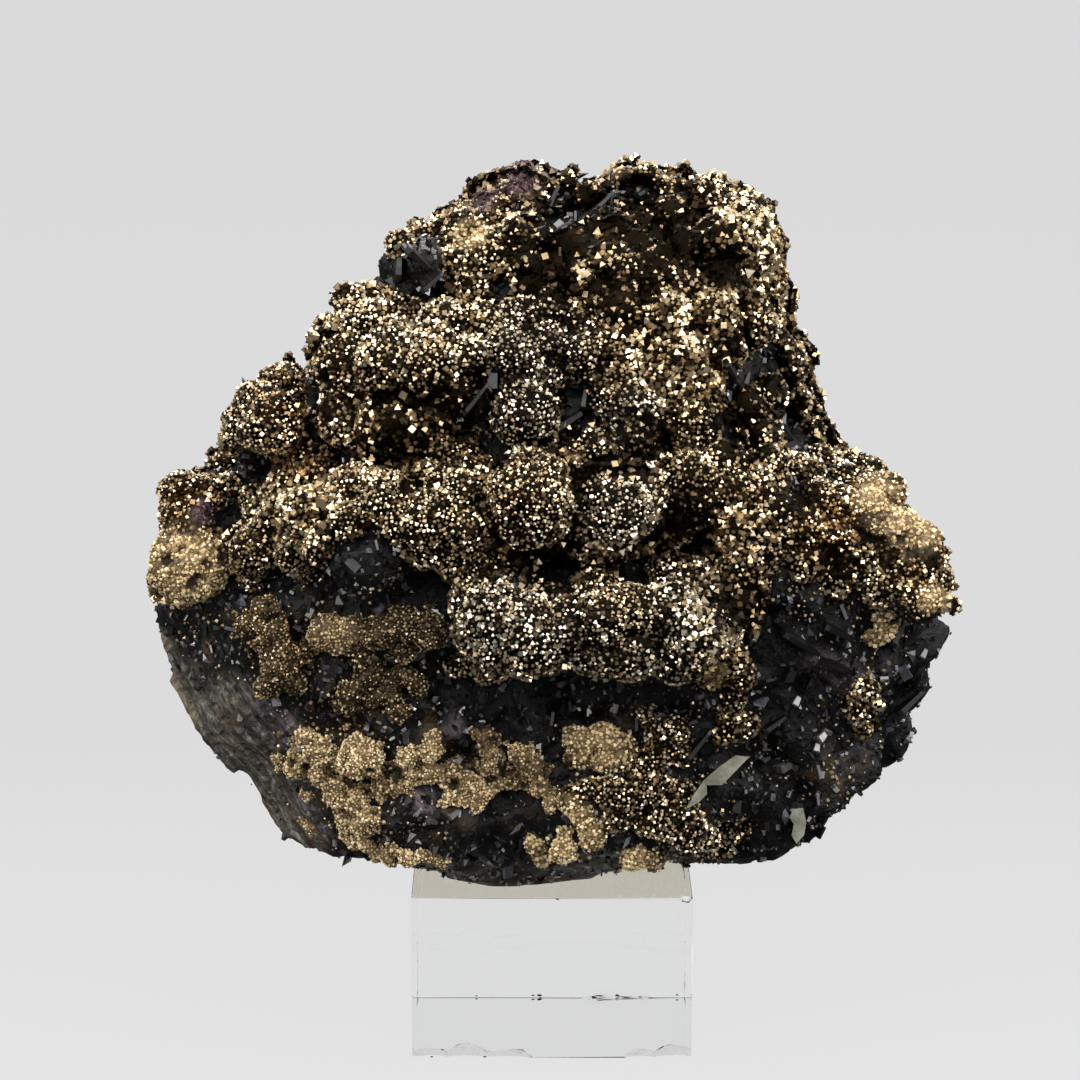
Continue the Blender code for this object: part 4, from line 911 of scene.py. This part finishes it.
crown = growCrust("pyriteCrown", crownValues)
growCrust("pyriteShoulder", shoulderValues)
growCrust("pyriteMiddle", middleValues)
growCrust("pyriteLeft", leftValues)
growCrust("pyriteRight", rightValues)
growCrust("pyriteShelf", shelfValues)
basin = growCrust("ochreBasin", basinValues)
lace = growCrust("ochreLace", laceValues)
foot = growCrust("pyriteFoot", footValues)
knobs = growCrust("pyriteKnobs", knobValues)
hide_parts("pyrite_crust")
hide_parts("pyrite_basin")
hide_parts("pyrite_lace")
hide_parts("pyrite_foot")
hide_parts("pyrite_knob", "pyrite_knob_2", "ochre_knob")

# Crust out of the front's sight, from the frame's own crust

mantleValues = {
    "voxel": 1.3, "triangles": 30000, "sink": 4.0, "shrink": 0.45,
    "spacing": 1.05, "size": 0.68, "sizeSpread": 0.4, "seed": 23,
}
backValues = {**mantleValues, "sink": 0.0, "triangles": 9000, "seed": 25, "spacing": 0.9, "size": 0.6}


def growMantle(name, nodeNames, values):
    mantle = newObject(name, cadMesh(*nodeNames))
    voxelSkin(mantle, values["voxel"], 1)
    thin(mantle, values["triangles"])
    followOutline(mantle)
    coords = points(mantle)
    facing = normals(mantle)
    for index in range(len(coords)):
        spot = Vector(coords[index])
        normal = Vector(facing[index])
        toEye = (eye - spot).normalized()
        front = min(1.0, max(0.0, (normal.dot(toEye) - 0.05) / 0.35))
        # the front lumps cover this part, so it sinks behind them
        shrink = normal * (-values["shrink"] + 0.5 * noise.noise(spot * 420.0)) * mm
        coords[index] = spot + shrink - toEye * front * values["sink"] * mm
    move(mantle, coords)
    markCrust(mantle, faint=0.4, darkest=0.9)
    growCrystals(mantle, druseTree, values, druseMaterial)
    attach(mantle, "root")
    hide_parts(*nodeNames)
    print(name, len(mantle.data.polygons))


growMantle("pyriteMantle", ["pyrite_crust", "pyrite_crust_2", "pyrite_crust_3", "pyrite_crust_4"], mantleValues)
growMantle("pyriteBack", ["pyrite_back", "pyrite_low_back"], backValues)

# Dark crystals over the bare rock

chipValues = {
    "spacing": 1.35, "size": 0.44, "sizeSpread": 0.65, "flatness": 0.6, "length": 1.45, "cubeShare": 0.6, "seed": 31,
}
plateValues = {
    "spacing": 3.2, "size": 0.95, "sizeSpread": 0.5, "flatness": 0.35, "length": 1.6, "cubeShare": 0.6, "seed": 33,
}
dustValues = {
    "spacing": 0.95, "size": 0.25, "sizeSpread": 0.75, "seed": 35, "ochre": 0.25, "offBroken": 0.6,
    "spots": [(-36, 20, 11), (-42, 30, 8), (-36, 42, 13), (-52, 43, 8), (12, 20, 10), (28, 12, 8), (33, 32, 6),
              (56, 35, 7), (60, 52, 7), (-64, 48, 5), (48, 56, 8), (-26, 10, 7), (40, 24, 4), (52, 20, 4)],
}


def growLoose(name, values, material):
    # crystals straight on the rock: all over it, or thickest round the spots
    loose = newObject(name, cadMesh("matrix_rock"))
    split = loose.modifiers.new("Split", "SUBSURF")
    split.subdivision_type = "SIMPLE"
    split.levels = split.render_levels = 2
    settle(loose)
    followOutline(loose)
    bare = 1.0 - spotMask(loose, rockValues["broken"]) * values.get("offBroken", 1.0)
    if "spots" in values:
        bare *= np.maximum(spotMask(loose, values["spots"], 0.6), 0.025)
    # fewer behind and along the outline, none under the seat
    bare *= np.clip(0.3 + towardsEye(loose), 0.15, 1.0)
    bare[points(loose)[:, 2] < rockValues["seatHeight"] * mm] = 0.0
    store(loose, "open", bare)
    store(loose, "lit", np.full(len(bare), 1.0))
    store(loose, "ochre", np.full(len(bare), values.get("ochre", 0.0)))
    growCrystals(loose, looseTree, values, material)
    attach(loose, "root")
    print(name, len(loose.data.polygons))


growLoose("darkChips", chipValues, darkCrystalMaterial)
growLoose("darkPlates", plateValues, darkCrystalMaterial)
growLoose("goldDust", dustValues, druseMaterial)

# Dark blades: across, up, length, width, turn and lean

bladeValues = {
    "thickness": 0.65,
    "depth": 1.6,
    "blades": [
        (15, 129.8, 8.7, 2.2, -28, 20), (14.3, 126.7, 8.2, 1.7, 28, 25), (25.7, 128.2, 7.4, 1.5, 7, 30),
        (4.2, 120.6, 6.9, 1.5, 58, 10), (2.1, 121.5, 4.5, 2.2, 35, 15), (8.5, 125.5, 7, 1.5, 40, 20),
        (0, 126.5, 6, 1.8, 65, 15), (22, 117.5, 8, 1.0, 10, 5), (-28, 115.5, 6.5, 2.0, 88, 10),
        (-24.5, 116, 6, 2.0, -45, 15), (-22, 111.5, 5, 1.5, 40, 10), (-29.5, 109, 7, 1.2, 10, 20),
        (-14, 90, 7, 1.4, 50, 12), (3, 86, 5.5, 2.2, 30, 10), (6, 90, 4, 1.6, 80, 20), (41, 100, 8.5, 0.9, -48, 15),
        (33, 95.5, 3.6, 1.5, -60, 20), (36, 93.5, 3, 1.5, 70, 30), (46, 45, 8, 1.8, -35, 15),
        (52, 41, 9, 2.0, -25, 15), (43, 48, 6, 1.6, -50, 20), (41, 30, 5, 1.6, 30, 20), (53, 47, 6, 1.8, -30, 10),
        (64, 47, 6, 2.0, 60, 20), (66, 34, 6, 2.0, 40, 15), (27, 26, 7, 1.6, 50, 10),
    ],
}
# Pale grey crystals on the black rock where it glints: small crystals whose pale colour is partly a painted glint
glintValues = {
    "thickness": 0.9,
    "depth": 1.1,
    "blades": [
        (45.2, 34.3, 2.0, 1.6, 60, 20), (49.6, 27.6, 2.4, 1.9, 35, 40), (50.8, 28.6, 1.8, 1.4, -20, 10),
        (48.9, 25.6, 1.7, 1.5, 75, 30), (39.6, 23.6, 1.6, 1.0, 20, 25), (43.2, 22.2, 3.0, 1.8, 15, 35),
        (38.8, 23.9, 1.2, 1.0, -45, 20), (42, 30.4, 1.4, 0.8, 55, 20), (-31.6, 51.3, 2.2, 1.6, 40, 30),
        (-44.5, 50.6, 2.0, 1.5, 60, 10), (-34, 29.6, 1.8, 1.2, 70, 20), (-18, 13.4, 2.4, 1.4, 30, 25),
        (-22, 12.2, 2.0, 1.3, -25, 25), (-24.6, 13.8, 1.8, 1.0, 50, 15), (2, 37.6, 2.0, 1.3, 20, 30),
        (-9, 36.9, 1.7, 1.2, 45, 20), (68.6, 43, 2.0, 1.4, 60, 25), (65.2, 40.4, 1.8, 1.2, 30, 20),
        (27.4, 35.2, 1.6, 1.1, 10, 40), (55, 46.8, 1.2, 0.9, 30, 20),
    ],
}


def buildBlades(name, values, material):
    together = bmesh.new()
    spare = bpy.data.meshes.new("spare")
    for across, up, length, width, turn, lean in values["blades"]:
        centre = seat(across, up, 1.0, 0.5)
        spin = Euler((0.0, -math.radians(turn), 0.0)).to_matrix() @ Euler((0.0, 0.0, math.radians(lean))).to_matrix()
        single = bmesh.new()
        bmesh.ops.create_cube(single, size=1.0)
        bmesh.ops.bevel(single, geom=single.edges[:], offset=0.12, segments=1, profile=0.5, affect="EDGES")
        for vert in single.verts:
            taper = 0.7 if vert.co.x > 0.0 else 1.0
            scaled = Vector((vert.co.x * length, vert.co.y * width * values["depth"] * taper,
                             vert.co.z * width * values["thickness"] * taper))
            vert.co = centre + spin @ (scaled * mm)
        single.to_mesh(spare)
        single.free()
        together.from_mesh(spare)
    bpy.data.meshes.remove(spare)
    blades = newObject(name, together)
    blades.data.materials.append(material)
    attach(blades, "root")
    print(name, len(blades.data.polygons))


buildBlades("darkBlades", bladeValues, bladeMaterial)
buildBlades("greyCrystals", glintValues, greyCrystalMaterial)

# Clear block: polished faces, frosted chips. Half sizes are across, deep and up

blockValues = {
    "halfSizes": (25.0, 25.0, 15.0),
    "cadBevel": 0.5,
    "bevel": 0.10,
    "chipJitter": 0.45,
    "backChip": 0.30,  # how much of the chip behind is left
    "backWear": 0.15,
}


def buildBlock(name, values):
    bm = cadMesh("acrylic_block")
    worn = bm.faces.layers.float.new("worn")
    top = bm.faces.layers.float.new("top")
    middle = Vector((0.0, 0.0, values["halfSizes"][2] * mm))
    side = values["halfSizes"][1] * mm
    chipped = []
    for face in bm.faces:
        low, between, high = sorted(abs(value) for value in face.normal)
        plain = high > 0.999 or (high - between < 0.01 and (low < 0.01 or high - low < 0.01))
        if not plain:
            chipped.append(face)
            face[worn] = 1.0 if face.calc_center_median().y < 0.0 else values["backWear"]
        face[top] = 1.0 if face.normal.z > 0.999 else 0.0
    # shell-shaped chips, broken up so that none has an even rim
    inner = {edge for face in chipped for edge in face.edges if all(other[worn] > 0.0 for other in edge.link_faces)}
    bmesh.ops.subdivide_edges(bm, edges=list(inner), cuts=1, use_grid_fill=True)
    for vert in bm.verts:
        if all(face[worn] > 0.0 for face in vert.link_faces):
            if vert.co.y > 0.0:
                vert.co.y = (side - vert.co.y) * (1.0 - values["backChip"]) + vert.co.y
                vert.co.z *= values["backChip"]
            shake = noise.noise_vector(vert.co * 900.0) + 0.6 * noise.noise_vector(vert.co * 300.0)
            vert.co += shake * values["chipJitter"] * mm
            vert.co.z = max(vert.co.z, 0.02 * mm)
            vert.co.y = min(max(vert.co.y, 0.02 * mm - side), side - 0.02 * mm)
        else:
            # the bevels are thin lines in the photograph
            for axis, half in enumerate(values["halfSizes"]):
                away = vert.co[axis] - middle[axis]
                if abs(abs(away) - (half - values["cadBevel"]) * mm) < 0.02 * mm:
                    vert.co[axis] = middle[axis] + math.copysign((half - values["bevel"]) * mm, away)
    block = newObject(name, bm)
    block.data.materials.append(acrylicMaterial)
    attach(block, "root")
    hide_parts("acrylic_block")
    print(name, len(block.data.polygons))


buildBlock("clearBlock", blockValues)

# Grains of dirt on the block's edges: place and size in millimetres
speckValues = [
    ((-2.2, 25.1, 0.4), 0.38), ((-3.4, 25.1, 0.4), 0.25), ((12.4, 25.1, 0.4), 0.34), ((23.6, 25.1, 0.5), 0.22),
    ((-14, 25.1, 0.3), 0.2), ((1.0, -25.0, 29.8), 0.24), ((-12, -25.1, 0.3), 0.24), ((-21.5, -25.1, 0.3), 0.22),
]


def buildSpecks(name, values):
    bm = bmesh.new()
    for centre, size in values:
        radii = [size * share * mm for share in (1.4, 0.5, 0.6)]
        addLump(bm, Vector(centre) * mm, radii, 2.2, Euler((0.0, 0.3 * size, 0.0)), 1)
    specks = newObject(name, bm)
    specks.data.materials.append(rockMaterial)
    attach(specks, "root")
    print(name, len(specks.data.polygons))


buildSpecks("dirtSpecks", speckValues)

# The frame's own pale crystals keep their shape and get their finish
for name in ("pale_crystal_leaf", "pale_crystal_spike"):
    nodes[name].data.materials.clear()
    nodes[name].data.materials.append(paleMaterial)

# Floor, light and camera

stageValues = {
    "floorSize": 6.0,
    "floorColour": (0.01, 0.01, 0.01),
    "paper": (0.99, 0.99, 1.0),
    "floorNear": 0.765,
    "floorFar": 0.700,
    "floorCast": 0.10,
    "worldSeen": 0.72,
    "worldCast": 0.60,
}


def lightLevel(tree, seen, cast):
    # one level for the camera, straight or through the clear block, and one for the light it casts
    path = tree.nodes.new("ShaderNodeLightPath").outputs
    direct = combine(tree, "MAXIMUM", path["Is Camera Ray"], path["Is Transmission Ray"])
    return mixNumber(tree, direct, cast, seen)


def buildStage(values):
    half = values["floorSize"] / 2.0
    bm = bmesh.new()
    corners = ((-1, -1), (1, -1), (1, 1), (-1, 1))
    bm.faces.new([bm.verts.new((x * half, y * half + 1.2, -0.0002)) for x, y in corners])
    floor = newObject("floor", bm)
    material, tree, shader = newMaterial("paleFloor")
    shader.inputs["Base Color"].default_value = (*values["floorColour"], 1.0)
    shader.inputs["Roughness"].default_value = 0.9
    shader.inputs["Specular IOR Level"].default_value = 0.0
    parts = addNode(tree, "ShaderNodeSeparateXYZ", {0: objectCoordinate(tree)}).outputs
    seen = spread(tree, parts["Y"], -0.03, 0.20, values["floorNear"], values["floorFar"])
    plug(tree, lightLevel(tree, seen, values["floorCast"]), shader.inputs["Emission Strength"])
    shader.inputs["Emission Color"].default_value = (*values["paper"], 1.0)
    floor.data.materials.append(material)
    world = bpy.data.worlds.new("studio")
    world.use_nodes = True
    tree = world.node_tree
    background = tree.nodes["Background"]
    background.inputs["Color"].default_value = (*values["paper"], 1.0)
    plug(tree, lightLevel(tree, values["worldSeen"], values["worldCast"]), background.inputs["Strength"])
    bpy.context.scene.world = world


# Each light: place, size, power, warmth
lightValues = {
    "top": ((0.05, -0.15, 0.95), 0.80, 9.6, (1.0, 0.97, 0.93)),
    "frontLeft": ((-0.55, -0.75, 0.60), 0.52, 3.7, (1.0, 0.98, 0.95)),
    "frontRight": ((0.60, -0.65, 0.55), 0.50, 3.4, (1.0, 0.97, 0.93)),
    "highFront": ((0.05, -0.95, 0.70), 0.48, 3.7, (1.0, 0.98, 0.96)),
    "rightSide": ((0.85, 0.10, 0.45), 0.40, 3.5, (1.0, 0.98, 0.96)),
    "leftSide": ((-0.85, 0.05, 0.45), 0.40, 3.5, (1.0, 0.98, 0.96)),
    "back": ((0.0, 0.85, 0.60), 0.45, 5.0, (1.0, 0.98, 0.96)),
}


def buildLights(values):
    target = Vector((0.0, -0.01, 0.095))
    for name, (spot, size, power, warmth) in values.items():
        data = bpy.data.lights.new(name, "AREA")
        data.shape = "SQUARE"
        data.size = size
        data.energy = power
        data.color = warmth
        lamp = bpy.data.objects.new(name, data)
        lamp.location = spot
        lamp.rotation_euler = (target - Vector(spot)).to_track_quat("-Z", "Y").to_euler()
        lamp.visible_camera = False
        lamp.visible_transmission = False
        bpy.context.scene.collection.objects.link(lamp)


def buildCamera(values):
    data = bpy.data.cameras.new("camera")
    data.lens = values["lens"]
    data.sensor_width = values["sensor"]
    data.clip_start = 0.05
    data.clip_end = 20.0
    camera = bpy.data.objects.new("camera", data)
    camera.location = values["eye"]
    camera.rotation_euler = (math.radians(90.0 - values["tiltDegrees"]), 0.0, 0.0)
    bpy.context.scene.collection.objects.link(camera)
    bpy.context.scene.camera = camera


buildStage(stageValues)
buildLights(lightValues)
buildCamera(cameraValues)
bpy.context.scene.view_settings.view_transform = "Standard"
print("stage")
